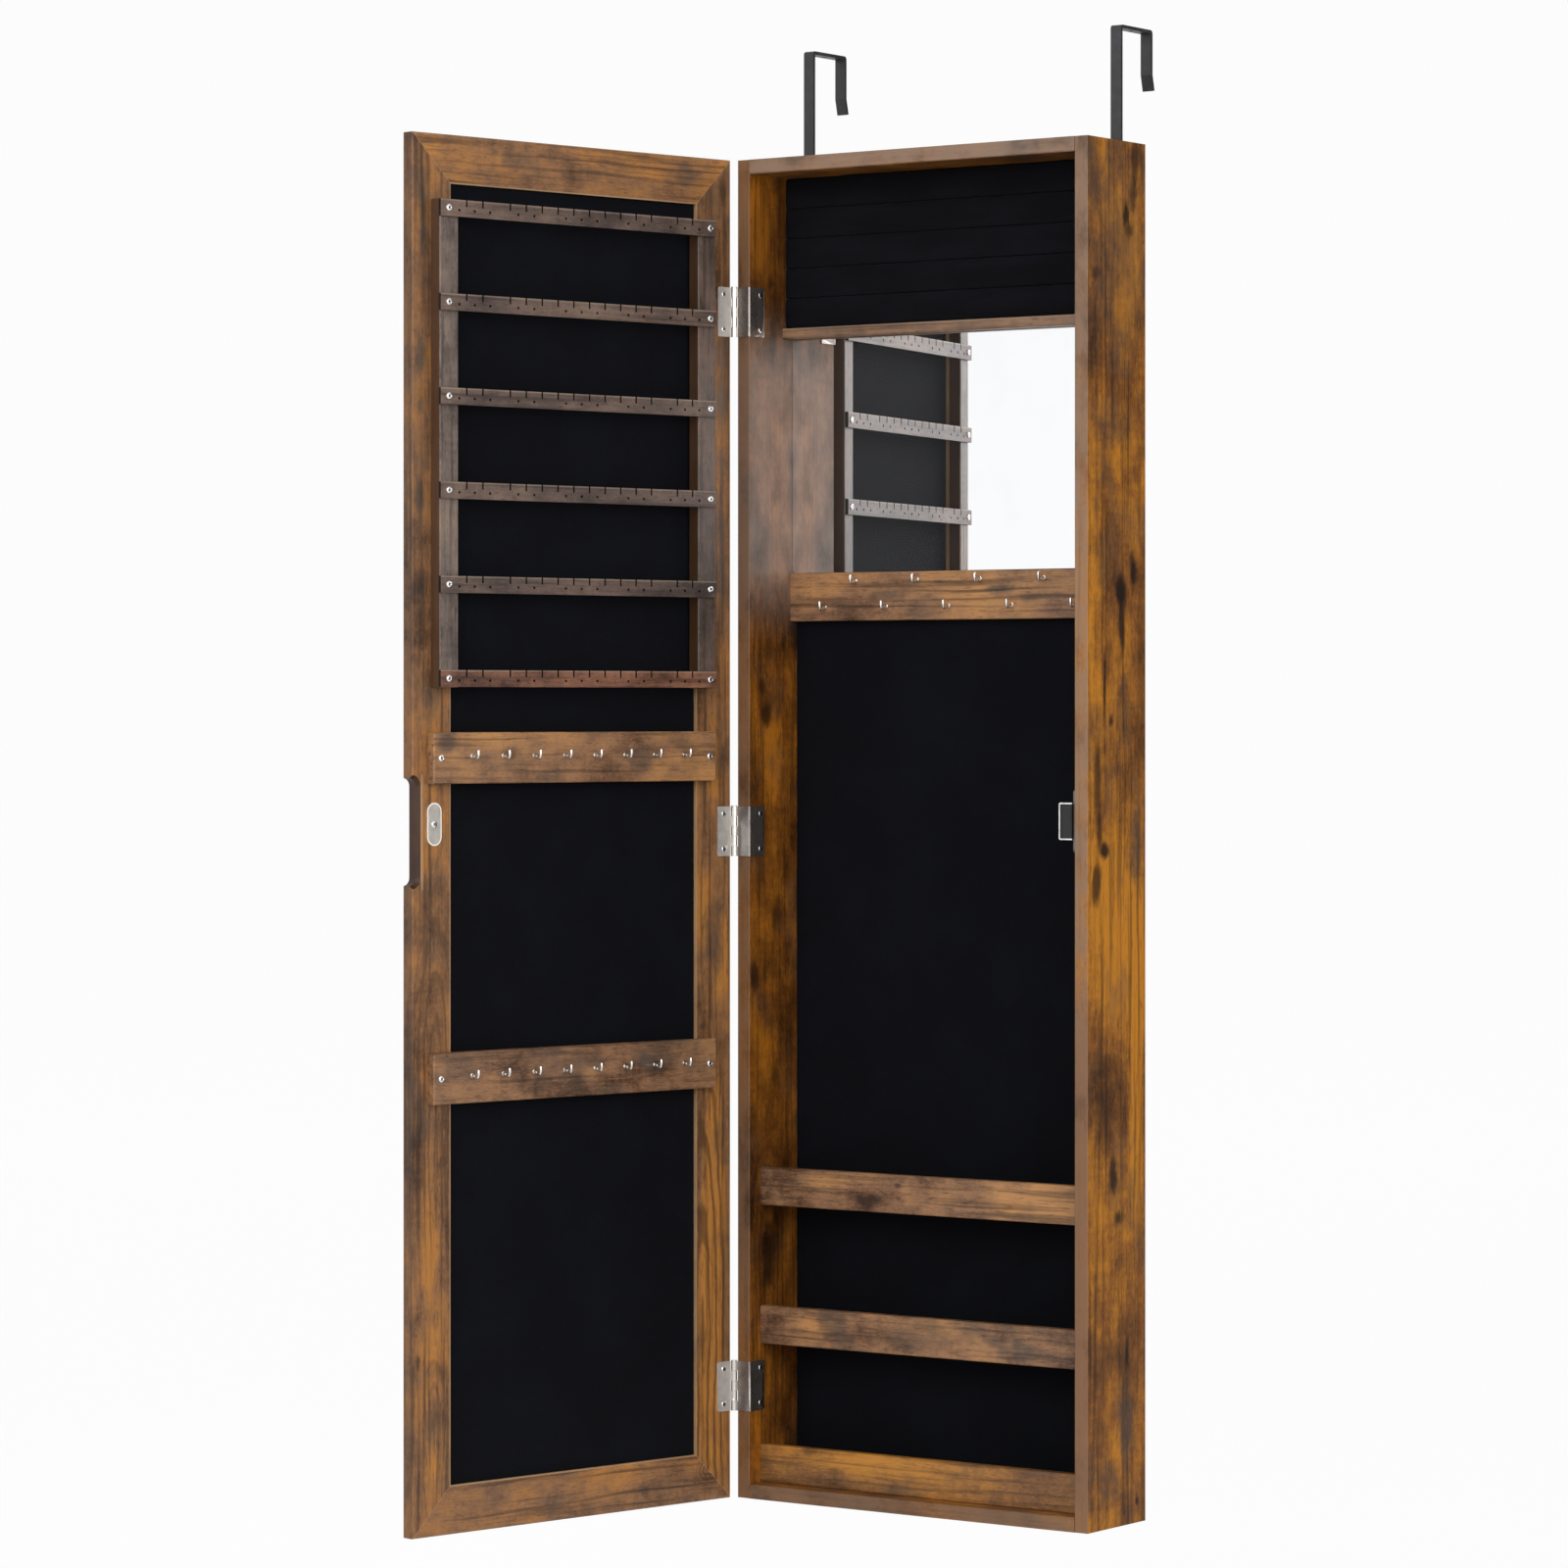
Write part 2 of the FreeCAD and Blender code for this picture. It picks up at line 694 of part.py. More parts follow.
# ---- earring rack and hook boards on the door ----------------------------------------------
def rack_support(side):
    x = door_x(rack_centre) + side * support_spread / 2
    face = door_inner + support_thick
    post = box(x - support_width / 2, x + support_width / 2, door_inner, face,
               height(support_bottom), height(support_top))
    return bevel_edges(post, arris, lambda e: edge_on(e, y=face) and e.Length > bar_pitch)


def bar_middle(index):
    """Height of an earring bar's middle; 1 is the top bar."""
    return height(top_bar_middle - (index - 1) * bar_pitch)


def earring_bar(index):
    """Thin bar with slots along its top edge and holes for ear posts below them."""
    z = bar_middle(index)
    middle = door_x(rack_centre + bar_shift)
    y0 = door_inner + support_thick
    bar = box(middle - bar_length / 2, middle + bar_length / 2, y0, y0 + bar_thick,
              z - bar_height / 2, z + bar_height / 2)
    rearward = Vector(0, 1, 0)
    top = z + bar_height / 2
    cuts = []
    for x in [middle + place for place in slot_places()]:
        cuts.append(box(x - slot_width / 2, x + slot_width / 2, y0, y0 + bar_thick, top - slot_cut, top))
    for place in post_hole_places():
        start = Vector(middle + place, y0, z - post_hole_drop)
        cuts.append(small_rod(post_hole_radius, start, rearward, bar_thick, wire_facets))
    for x in bar_screw_places():
        cuts.append(screw_hole(Vector(x, y0, z), rearward, bar_thick, screw_radius))
    return bar.cut(Part.makeCompound(cuts))


def slot_places():
    """Slots from the bar's middle: a row in the middle and a pair at each end."""
    row = [(index - (slot_row - 1) / 2) * slot_pitch for index in range(slot_row)]
    outer = bar_length / 2 - slot_pair_inset
    return [-outer, slot_pitch - outer] + row + [outer - slot_pitch, outer]


def post_hole_places():
    """Ear post holes from the bar's middle, the same on both sides of it."""
    side = [step * slot_pitch for step in post_hole_steps]
    side += [bar_length / 2 - inset for inset in post_hole_insets]
    return sorted({place * sign for place in side for sign in (-1, 1)})


def bar_screw_places():
    middle = door_x(rack_centre + bar_screw_shift)
    return (middle - bar_screw_spread / 2, middle + bar_screw_spread / 2)


def hook_board_middle():
    return door_x(rack_centre + hook_board_shift)


def door_hook_bases(board_height):
    first = hook_board_middle() + hook_row_shift - (hook_count - 1) / 2 * hook_pitch
    y = door_inner + hook_board_thick
    z = height(board_height + hook_above_middle)
    return [Vector(first + index * hook_pitch, y, z) for index in range(hook_count)]


def hook_board(board_height):
    middle = hook_board_middle()
    z = height(board_height)
    face = door_inner + hook_board_thick
    shape = box(middle - hook_board_length / 2, middle + hook_board_length / 2, door_inner, face,
                z - hook_board_height / 2, z + hook_board_height / 2)
    shape = bevel_edges(shape, arris, lambda e: edge_on(e, y=face))
    for base in door_hook_bases(board_height):
        shape = shape.cut(hook_hole(base, Vector(0, 1, 0)))
    return shape


def fitting_screw_seats():
    """Seats of the screws that hold the earring bars and the two hook boards."""
    seats = []
    for index in range(1, bar_count + 1):
        for x in bar_screw_places():
            seats.append(Vector(x, door_inner + support_thick + bar_thick, bar_middle(index)))
    for board_height in hook_board_middles:
        for side in (-1, 1):
            x = hook_board_middle() + side * hook_board_screw_spread / 2
            seats.append(Vector(x, door_inner + hook_board_thick, height(board_height)))
    return seats


def fitting_screw_holes():
    inward = Vector(0, -1, 0)
    return Part.makeCompound([screw_hole(seat, inward, fitting_screw_length, screw_radius)
                              for seat in fitting_screw_seats()])


# ---- strike plate --------------------------------------------------------------------------
def strike_seat():
    return Vector(half_width - strike_inset, door_inner + strike_thick, height(strike_middle))


def strike_plate():
    """Oblong steel plate with round ends and one countersunk screw."""
    centre = strike_seat() - Vector(0, strike_thick, 0)
    half = strike_width / 2
    across = Vector(half, 0, 0)
    edges = []
    for end in (1, -1):
        middle = centre + Vector(0, 0, end * (strike_height / 2 - half))
        start, stop = middle - across * end, middle + across * end
        edges.append(Part.Arc(start, middle + Vector(0, 0, end * half), stop).toShape())
        edges.append(Part.makeLine(stop, stop - Vector(0, 0, end * (strike_height - strike_width))))
    plate = face_of(edges).extrude(Vector(0, strike_thick, 0))
    return plate.cut(countersunk_hole(strike_seat(), Vector(0, -1, 0), leaf_screw_length))


# ---- hinges --------------------------------------------------------------------------------
def knuckle_span(index, middle):
    """Lower and upper end of one knuckle."""
    length = leaf_height / knuckle_count
    z0 = middle - leaf_height / 2 + index * length
    low = z0 if index == 0 else z0 + knuckle_gap / 2
    high = z0 + length if index == knuckle_count - 1 else z0 + length - knuckle_gap / 2
    return low, high


def knuckles(middle, first, tab_y0, tab_y1):
    """Every second knuckle from first, each with the tab that joins it to its leaf."""
    pieces = []
    for index in range(first, knuckle_count, 2):
        z0, z1 = knuckle_span(index, middle)
        foot = Vector(axis_x, axis_y, z0)
        pieces.append(small_rod(knuckle_radius, foot, Vector(0, 0, 1), z1 - z0, knuckle_facets))
        pieces.append(box(axis_x, axis_x + leaf_edge_out(), tab_y0, tab_y1, z0, z1))
    return pieces[0].fuse(pieces[1:])


def leaf_edge_out():
    """Hinge axis to the leaf's near edge, past the other leaf's knuckles."""
    return knuckle_radius + knuckle_gap


def pin_bore(middle):
    return rod(pin_radius + pin_clearance, Vector(axis_x, axis_y, middle - leaf_height),
               Vector(0, 0, 1), 2 * leaf_height)


def leaf_screw_heights(middle):
    return (middle - leaf_screw_spread / 2, middle + leaf_screw_spread / 2)


def door_leaf_seats(middle):
    x = door_x(leaf_screw_from_edge)
    return [Vector(x, door_inner + leaf_thick, z) for z in leaf_screw_heights(middle)]


def door_leaf(middle):
    """Flat leaf on the door's inside face, with two knuckles."""
    z0, z1 = middle - leaf_height / 2, middle + leaf_height / 2
    y1 = door_inner + leaf_thick
    far = door_x(leaf_reach)
    plate = box(axis_x + leaf_edge_out(), far, door_inner, y1, z0, z1)
    corners = [edge for edge in plate.Edges if edge_on(edge, x=far) and long_as(edge, leaf_thick)]
    plate = plate.makeFillet(leaf_corner, corners)
    leaf = plate.fuse(knuckles(middle, 1, door_inner, y1)).cut(pin_bore(middle)).removeSplitter()
    for seat in door_leaf_seats(middle):
        leaf = leaf.cut(countersunk_hole(seat, Vector(0, -1, 0), leaf_screw_length))
    return leaf


def cabinet_leaf_seats(middle):
    x = -inner_half + leaf_thick
    return [Vector(x, depth(leaf_screw_depth), z) for z in leaf_screw_heights(middle)]


def cabinet_leaf(middle):
    """Leaf that covers the side panel's front edge and wraps onto its inner wall."""
    z0, z1 = middle - leaf_height / 2, middle + leaf_height / 2
    y0 = front - leaf_thick
    x1 = -inner_half + leaf_thick
    across = box(axis_x + leaf_edge_out(), x1, y0, front, z0, z1)
    along = box(-inner_half, x1, y0, depth(leaf_wrap), z0, z1)
    wrap = across.fuse(along).removeSplitter()
    bend = [edge for edge in wrap.Edges if edge_on(edge, x=x1, y=y0)]
    wrap = wrap.makeFillet(leaf_corner, bend)
    far = depth(leaf_wrap)
    corners = [edge for edge in wrap.Edges if edge_on(edge, y=far) and long_as(edge, leaf_thick)]
    wrap = wrap.makeFillet(leaf_corner, corners)
    leaf = wrap.fuse(knuckles(middle, 0, y0, front)).cut(pin_bore(middle)).removeSplitter()
    for seat in cabinet_leaf_seats(middle):
        leaf = leaf.cut(countersunk_hole(seat, Vector(-1, 0, 0), leaf_screw_length))
    return leaf


def hinge_pin(middle):
    """Pin through all knuckles, its cap resting on the top one."""
    up = Vector(0, 0, 1)
    z0, z1 = middle - leaf_height / 2, middle + leaf_height / 2
    pin = rod(pin_radius, Vector(axis_x, axis_y, z0), up, leaf_height)
    cap_radius = knuckle_radius - pin_cap / 2
    return pin.fuse(small_rod(cap_radius, Vector(axis_x, axis_y, z1), up, pin_cap, knuckle_facets))


# ---- build: case -----------------------------------------------------------------------------
hinge_heights = [height(value) for value in hinge_middles]
cabinet_screw_holes = Part.makeCompound(
    [countersunk_hole(seat, Vector(-1, 0, 0), leaf_screw_length)
     for middle in hinge_heights for seat in cabinet_leaf_seats(middle)])
catch_holes = Part.makeCompound(
    [countersunk_hole(seat, Vector(1, 0, 0), catch_screw_length) for seat in catch_screw_seats()])

save("left_side_panel", side_panel(-1).cut(cabinet_screw_holes))
save("right_side_panel", side_panel(1).cut(catch_holes))
save("top_panel", top_panel())
save("bottom_panel", end_panel(case_bottom, case_bottom + board))
save("panel_dowels", *corner_dowels())
save("back_board", back_board().cut(hanger_screw_holes()))
save("back_felt", back_felt())
save("hanging_rail", hanging_rail())
save("left_hanger_strap", hanger_strap(-1))
save("right_hanger_strap", hanger_strap(1))
save("hanger_screws", *hanger_screws())

save("ring_shelf", inner_board(height(ring_shelf_top - ring_shelf_thick), height(ring_shelf_top),
                               felt_face - ring_shelf_width, felt_face))
save("ring_cushion", ring_cushion())
glass_back = felt_face - backing_thick
save("inner_mirror", mirror_bay_panel(glass_back - glass_thick, glass_back))
save("mirror_backing", mirror_bay_panel(glass_back, felt_face))
save("inner_hook_board", inner_hook_board())
save("inner_hooks", *[hook(base, Vector(0, -1, 0)) for base in inner_hook_bases()])
for name, step in (("lower", 0), ("middle", 1), ("upper", 2)):
    save(name + "_guard_rail", guard_rail(step))
    if step:
        save(name + "_tray_shelf", tray_shelf(step))

magnet, poles = catch_magnet_and_poles()
save("catch_bracket", catch_bracket())
save("catch_magnet", magnet)
save("catch_pole_plates", *poles)
save("catch_screws", *[countersunk_screw(seat, Vector(1, 0, 0), catch_screw_length)
                       for seat in catch_screw_seats()])

for name, middle in zip(("upper", "middle", "lower"), hinge_heights):
    save(name + "_cabinet_leaf", cabinet_leaf(middle))
    save(name + "_door_leaf", swing(door_leaf(middle)))
save("hinge_pins", *[hinge_pin(middle) for middle in hinge_heights])
save("cabinet_leaf_screws", *[countersunk_screw(seat, Vector(-1, 0, 0), leaf_screw_length)
                              for middle in hinge_heights for seat in cabinet_leaf_seats(middle)])

# ---- build: door -----------------------------------------------------------------------------
inward = Vector(0, -1, 0)
door_screw_seats = [seat for middle in hinge_heights for seat in door_leaf_seats(middle)]
splines_space = Part.makeCompound(corner_splines(spline_gap))
fitting_holes = fitting_screw_holes()
door_screw_holes = Part.makeCompound(
    [countersunk_hole(seat, inward, leaf_screw_length) for seat in door_screw_seats + [strike_seat()]])

hinge_stile = frame_stile(-1).cut(splines_space).cut(fitting_holes).cut(door_screw_holes)
free_stile = frame_stile(1).cut(splines_space).cut(fitting_holes).cut(door_screw_holes)
save("hinge_stile", swing(hinge_stile))
save("free_stile", swing(free_stile.cut(finger_notch())))
save("door_top_rail", swing(frame_rail(case_top, case_top - frame_width).cut(splines_space)))
save("door_bottom_rail", swing(frame_rail(case_bottom, case_bottom + frame_width).cut(splines_space)))
save("mitre_splines", *[swing(spline) for spline in corner_splines()])

glass_rear = door_outer + frame_lip + glass_thick
felt_rear = door_inner - frame_lip - felt_thick
save("door_mirror", swing(door_panel(door_outer + frame_lip, glass_rear)))
save("door_backing", swing(door_panel(glass_rear, felt_rear)))
save("door_felt", swing(door_panel(felt_rear, door_inner - frame_lip)))

save("free_side_support", swing(rack_support(1).cut(fitting_holes)))
save("hinge_side_support", swing(rack_support(-1).cut(fitting_holes)))
for index in range(1, bar_count + 1):
    save("earring_bar_%d" % index, swing(earring_bar(index)))
for name, board_height in zip(("upper", "lower"), hook_board_middles):
    save(name + "_hook_board", swing(hook_board(board_height).cut(fitting_holes)))
    door_hooks = [hook(base, Vector(0, 1, 0)) for base in door_hook_bases(board_height)]
    save(name + "_door_hooks", *[swing(shape) for shape in door_hooks])
save("fitting_screws", *[swing(pan_screw(seat, inward, fitting_screw_length, screw_radius,
                                         screw_head_radius, screw_head_height))
                         for seat in fitting_screw_seats()])
save("strike_plate", swing(strike_plate()))
save("strike_screw", swing(countersunk_screw(strike_seat(), inward, leaf_screw_length)))
save("door_leaf_screws", *[swing(countersunk_screw(seat, inward, leaf_screw_length))
                           for seat in door_screw_seats])
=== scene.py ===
import json
from math import cos, pi, radians, sin
import bpy
from mathutils import Matrix, Vector

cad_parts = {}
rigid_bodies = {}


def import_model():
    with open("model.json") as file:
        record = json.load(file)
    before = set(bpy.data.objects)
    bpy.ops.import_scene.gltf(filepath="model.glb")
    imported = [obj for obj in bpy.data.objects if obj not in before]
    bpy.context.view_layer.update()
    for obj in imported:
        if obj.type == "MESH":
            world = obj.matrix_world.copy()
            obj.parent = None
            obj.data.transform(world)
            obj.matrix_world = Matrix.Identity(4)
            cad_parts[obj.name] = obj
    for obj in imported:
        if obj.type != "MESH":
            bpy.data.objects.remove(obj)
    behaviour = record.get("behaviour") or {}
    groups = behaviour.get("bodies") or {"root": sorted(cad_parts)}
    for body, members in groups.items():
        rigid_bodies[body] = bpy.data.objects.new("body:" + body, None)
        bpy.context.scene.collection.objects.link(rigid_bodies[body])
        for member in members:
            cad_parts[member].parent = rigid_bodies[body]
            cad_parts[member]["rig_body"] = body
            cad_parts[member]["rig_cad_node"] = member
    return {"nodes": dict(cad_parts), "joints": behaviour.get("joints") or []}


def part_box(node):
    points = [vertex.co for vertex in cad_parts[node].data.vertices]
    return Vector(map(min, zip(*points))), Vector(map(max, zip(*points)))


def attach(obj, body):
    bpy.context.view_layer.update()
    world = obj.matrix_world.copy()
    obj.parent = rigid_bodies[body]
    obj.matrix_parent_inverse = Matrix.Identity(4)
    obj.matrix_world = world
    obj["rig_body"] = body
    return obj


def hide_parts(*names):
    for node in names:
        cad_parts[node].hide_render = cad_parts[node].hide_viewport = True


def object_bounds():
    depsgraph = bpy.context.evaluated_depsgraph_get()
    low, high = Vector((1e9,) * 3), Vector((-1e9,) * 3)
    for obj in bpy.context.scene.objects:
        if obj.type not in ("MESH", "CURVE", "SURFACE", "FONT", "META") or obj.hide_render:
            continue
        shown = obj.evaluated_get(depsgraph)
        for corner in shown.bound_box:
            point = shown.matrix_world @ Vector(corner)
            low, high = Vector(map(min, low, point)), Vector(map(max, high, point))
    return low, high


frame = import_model()
cad_low, cad_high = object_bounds()


# ---- Case boards ----
# Four particle boards wrapped in printed paper foil that looks like old, smoked pine. The grain
# runs along each board, and the front edges carry a paler strip, partly the foil's own tone and
# partly painted sheen.
class Value:
    """A socket of a finish. Arithmetic on it adds Math nodes."""

    def __init__(self, finish, socket):
        self.finish = finish
        self.socket = socket

    def math(self, operation, first, second=0.0):
        return self.finish.node("ShaderNodeMath", {"operation": operation}, {0: first, 1: second})

    def __add__(self, other):
        return self.math("ADD", self, other)

    def __sub__(self, other):
        return self.math("SUBTRACT", self, other)

    def __rsub__(self, other):
        return self.math("SUBTRACT", other, self)

    def __mul__(self, other):
        return self.math("MULTIPLY", self, other)

    def __abs__(self):
        return self.math("ABSOLUTE", self)

    __radd__ = __add__
    __rmul__ = __mul__

    def sine(self):
        return self.math("SINE", self)

    def at_least(self, least):
        return self.math("MAXIMUM", self, least)

    def at_most(self, most):
        return self.math("MINIMUM", self, most)

    def rise(self, start, end):
        """0 below start, 1 above end and smooth between; falling when start is above end."""
        low, high = min(start, end), max(start, end)
        span = {"Value": self, "From Min": low, "From Max": high}
        step = self.finish.node("ShaderNodeMapRange", {"interpolation_type": "SMOOTHSTEP"}, span)
        return step if start < end else 1 - step


class Finish:
    """A procedural material under construction."""

    def __init__(self, name):
        self.material = bpy.data.materials.new(name)
        self.material.use_nodes = True
        self.tree = self.material.node_tree
        self.tree.nodes.clear()

    def node(self, kind, settings=None, inputs=None, output=0):
        """Add a node: its settings first, then its sockets. Gives back one output. The setting
        stops holds a ramp's colours by position."""
        made = self.tree.nodes.new(kind)
        settings = dict(settings or {})
        stops = sorted(settings.pop("stops", {}).items())
        for index, (position, tint) in enumerate(stops):
            elements = made.color_ramp.elements
            stop = elements[index] if index < len(elements) else elements.new(1.0)
            stop.position = position
            stop.color = tint
        for name, setting in settings.items():
            setattr(made, name, setting)
        for name, value in (inputs or {}).items():
            if isinstance(value, Value):
                self.tree.links.new(value.socket, made.inputs[name])
            else:
                made.inputs[name].default_value = value
        return Value(self, made.outputs[output]) if made.outputs else None

    def place(self):
        return self.node("ShaderNodeTexCoord", output="Object")

    def scaled(self, vector, factors, shift=(0, 0, 0)):
        inputs = {0: vector, 1: factors, 2: shift}
        return self.node("ShaderNodeVectorMath", {"operation": "MULTIPLY_ADD"}, inputs)

    def length(self, vector):
        return self.node("ShaderNodeVectorMath", {"operation": "LENGTH"}, {0: vector}, "Value")

    def part(self, vector, axis):
        return self.node("ShaderNodeSeparateXYZ", inputs={0: vector}, output="XYZ".index(axis))

    def noise(self, vector, scale, detail, roughness):
        inputs = {"Vector": vector, "Scale": scale, "Detail": detail, "Roughness": roughness}
        return self.node("ShaderNodeTexNoise", inputs=inputs)

    def mix(self, first, second, amount):
        inputs = {0: amount, 6: first, 7: second}
        return self.node("ShaderNodeMix", {"data_type": "RGBA"}, inputs, 2)

    def done(self, color, roughness, relief=None, depth=0.0001, **constants):
        """Close the finish. The relief is a bump of this depth, and the constants are set as they
        are on the shader's own sockets."""
        inputs = {"Base Color": color, "Roughness": roughness}
        inputs.update({name.replace("_", " "): value for name, value in constants.items()})
        if relief is not None:
            bump = {"Height": relief, "Distance": depth, "Strength": 1.0}
            inputs["Normal"] = self.node("ShaderNodeBump", inputs=bump)
        shader = self.node("ShaderNodeBsdfPrincipled", inputs=inputs)
        self.node("ShaderNodeOutputMaterial", inputs={"Surface": shader})
        return self.material


def paint(code):
    """Linear colour of a web code such as 7d5736."""
    levels = [int(code[i:i + 2], 16) / 255 for i in (0, 2, 4)]
    linear = [c / 12.92 if c <= 0.04045 else ((c + 0.055) / 1.055) ** 2.4 for c in levels]
    return tuple(linear) + (1.0,)


# A near-black brown for the print's grain and knots, also laid on as painted shade.
soot_and_shade = paint("20140c")
smoke_grey = paint("4a4038")
case_tones = (paint("38200d"), paint("7e4e20"), paint("bd7a20"))
# A darker copy of the case tones: painted shade for the left panel's inner wall.
painted_shade_tones = (paint("2b1709"), paint("734417"), paint("ab691d"))


def in_board(finish, place, across, along):
    """Coordinates of a board: X across the grain, Y along it, Z through the board."""
    through = next(axis for axis in "XYZ" if axis not in across + along)
    parts = {name: finish.part(place, axis) for name, axis in zip("XYZ", (across, along, through))}
    return finish.node("ShaderNodeCombineXYZ", inputs=parts)


def smoked_pine(name, lie, seed, tones=case_tones, turn=None, warmth=0.0, smoke=0.6, grain=0.55,
                figure=0.6, gloss=0.38, dark_spots=(), smudges=(), glows=(), arches=(), trims=()):
    """Printed pine foil. lie names the axes across and along the grain. Dark spots (knots, and on
    the left panel painted shade), smudges and glows are spots given in mm as across, along, half
    width, half length and strength. An arch is a set of nested pointed grain lines that open
    towards the low end from its place across and along, with its stretch, pitch, reach and
    strength. A trim is a colour laid over by a mask."""
    finish = Finish(name)
    place = turn(finish) if turn else finish.place()
    board = in_board(finish, place, *lie)
    shift = (seed * 1.73, seed * 2.31, seed * 3.17)

    def layer(across, along, scale, detail, roughness):
        """Noise over the board, stretched where a factor is under 1."""
        stretched = finish.scaled(board, (across, along, 1), shift)
        return finish.noise(stretched, scale, detail, roughness)

    clouds = layer(1, 0.55, 13, 3, 0.5)
    mottle = layer(1, 0.55, 46, 4, 0.62)
    ripple = layer(0.35, 1.5, 110, 2, 0.5)
    drift = layer(1, 0.3, 30, 1, 0.5)
    waved = finish.scaled(board, (1, 0.02, 1), finish.scaled(drift, (0.006, 0, 0), shift))
    lines = finish.noise(waved, 250, 2, 0.55)
    pores = layer(1, 0.13, 560, 2, 0.6)
    fibres = layer(1, 0.2, 1300, 2, 0.6)
    puffs = finish.noise(finish.scaled(board, (1, 0.6, 1), (seed, 4.7, seed)), 24, 3, 0.6)

    def spot(across, along, half_across, half_along, strength, raggedness=2.0):
        near = (1000 / half_across, 1000 / half_along, 0)
        offset = finish.scaled(board, near, (-across / half_across, -along / half_along, 0))
        ragged = (mottle - 0.5) * raggedness + (pores - 0.5) * raggedness * 0.5
        return (finish.length(offset) + ragged).rise(1.35, 0.35) * strength

    tone = (clouds - 0.5) * 1.4 + (mottle - 0.5) * 1.0 + (ripple - 0.5) * 0.2 + (0.5 + warmth)
    tone = tone + (fibres - 0.5) * 0.55
    for glow in glows:
        tone = tone + spot(*glow, raggedness=0.8)
    stops = {0.15: tones[0], 0.5: tones[1], 0.85: tones[2]}
    color = finish.node("ShaderNodeValToRGB", {"stops": stops}, {"Fac": tone})
    color = finish.mix(color, smoke_grey, puffs.rise(0.52, 0.68) * smoke)
    for smudge in smudges:
        color = finish.mix(color, smoke_grey, spot(*smudge))
    color = finish.mix(color, tones[2], pores.rise(0.45, 0.25) * grain * 0.5)
    color = finish.mix(color, soot_and_shade, pores.rise(0.52, 0.8) * grain)
    color = finish.mix(color, soot_and_shade, lines.rise(0.47, 0.72) * figure)
    for across, along, stretch, pitch, reach, strength in arches:
        near = (1000, 1000 / stretch, 0)
        offset = finish.scaled(board, near, (-across, -along / stretch, 0))
        ahead = finish.part(offset, "Y")
        inside = abs(ahead).rise(reach, reach * 0.6)
        nested = {"X": finish.part(offset, "X"), "Y": ahead.at_least(0.0)}
        distance = finish.length(finish.node("ShaderNodeCombineXYZ", inputs=nested))
        wave = (distance * (2 * pi / pitch) + (clouds - 0.5) * 12 + mottle * 4).sine()
        inside = inside * distance.rise(reach, reach * 0.5)
        color = finish.mix(color, tones[0], wave.rise(0.0, 0.95) * inside * strength)
    # Dark spots: knots, and painted shade where a board's list holds it.
    for dark_spot in dark_spots:
        color = finish.mix(color, soot_and_shade, spot(*dark_spot))
    for tint, mask in trims:
        color = finish.mix(color, tint, mask(finish, place, mottle))
    relief = pores * -0.5 + lines * -0.3 + fibres * -0.2
    roughness = mottle * 0.16 + pores * 0.1 + 0.3
    return finish.done(color, roughness, relief, 0.00012, Specular_IOR_Level=gloss)


def dress(name, material):
    """Give a node of the frame its finish."""
    for slot in frame["nodes"][name].material_slots:
        slot.material = material


case_low, case_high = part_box("right_side_panel")
case_front = case_low.y


def edge_strip_and_sheen(finish, place, mottle):
    """A paler strip along the case's front edges, partly the foil's tone and partly painted sheen,
    with smoke in patches.
    """
    strip = finish.part(place, "Y").rise(case_front + 0.0012, case_front + 0.0008)
    return strip * (mottle.rise(0.3, 0.6) * 0.45 + 0.35)


def low_strip(finish, place, mottle):
    """The browner lower half of the right board's strip."""
    return edge_strip_and_sheen(finish, place, mottle) * finish.part(place, "Z").rise(-0.7, -1.0) * 0.8


def worn_stretch(finish, place, mottle):
    """The foil rubbed pale beside the inner mirror."""
    height = finish.part(place, "Z")
    return height.rise(-0.54, -0.46) * height.rise(-0.22, -0.3) * (mottle * 0.7 + 0.05)


worn_tint = paint("94877f")
# Colours of the front-edge strip: the foil's paler tone with painted sheen.
pale_strip_and_sheen = paint("87705f")
brown_strip_and_sheen = paint("6e5440")
right_knots = [(-32, -165, 7.2, 10.3, 0.95), (-26, -178, 7.2, 8, 0.72),
               (-17, -112, 5.8, 32.2, 0.66), (-20, -148, 5.8, 16.1, 0.6),
               (-82, -219, 7.2, 5.8, 0.54), (-20, -475, 7.2, 17.2, 0.95),
               (-40, -490, 8.7, 12.6, 0.95), (-39, -525, 5.8, 32.2, 0.9),
               (-68, -584, 1.9, 41.4, 0.95), (-57, -604, 4.3, 5.8, 0.84),
               (-80, -655, 7.2, 43.7, 0.72), (-68, -716, 8.7, 6.9, 0.95),
               (-76, -700, 3.6, 20.7, 0.72), (-81, -743, 7.2, 19.5, 0.84),
               (-53, -996, 7.2, 16.1, 0.9), (-45, -1034, 10.2, 8, 0.84),
               (-31, -1153, 3.2, 11.5, 0.95), (-14, -1283, 2.9, 4.6, 0.95),
               (-65, -950, 17.4, 27.6, 0.48), (-66, -902, 10.2, 11.5, 0.36)]
right_smudges = [(-50, -190, 60, 90, 0.42), (-60, -345, 34, 22, 0.35), (-14, -715, 8, 34, 0.55),
                 (-35, -1217, 13, 44, 0.7), (-85, -130, 12, 40, 0.3), (-60, -1262, 18, 22, 0.4)]
right_glows = [(-48, -790, 70, 100, 0.55), (-15, -950, 14, 90, 0.6), (-30, -265, 26, 60, 0.15),
               (-70, -1010, 40, 60, 0.15), (-55, -560, 60, 60, 0.12)]
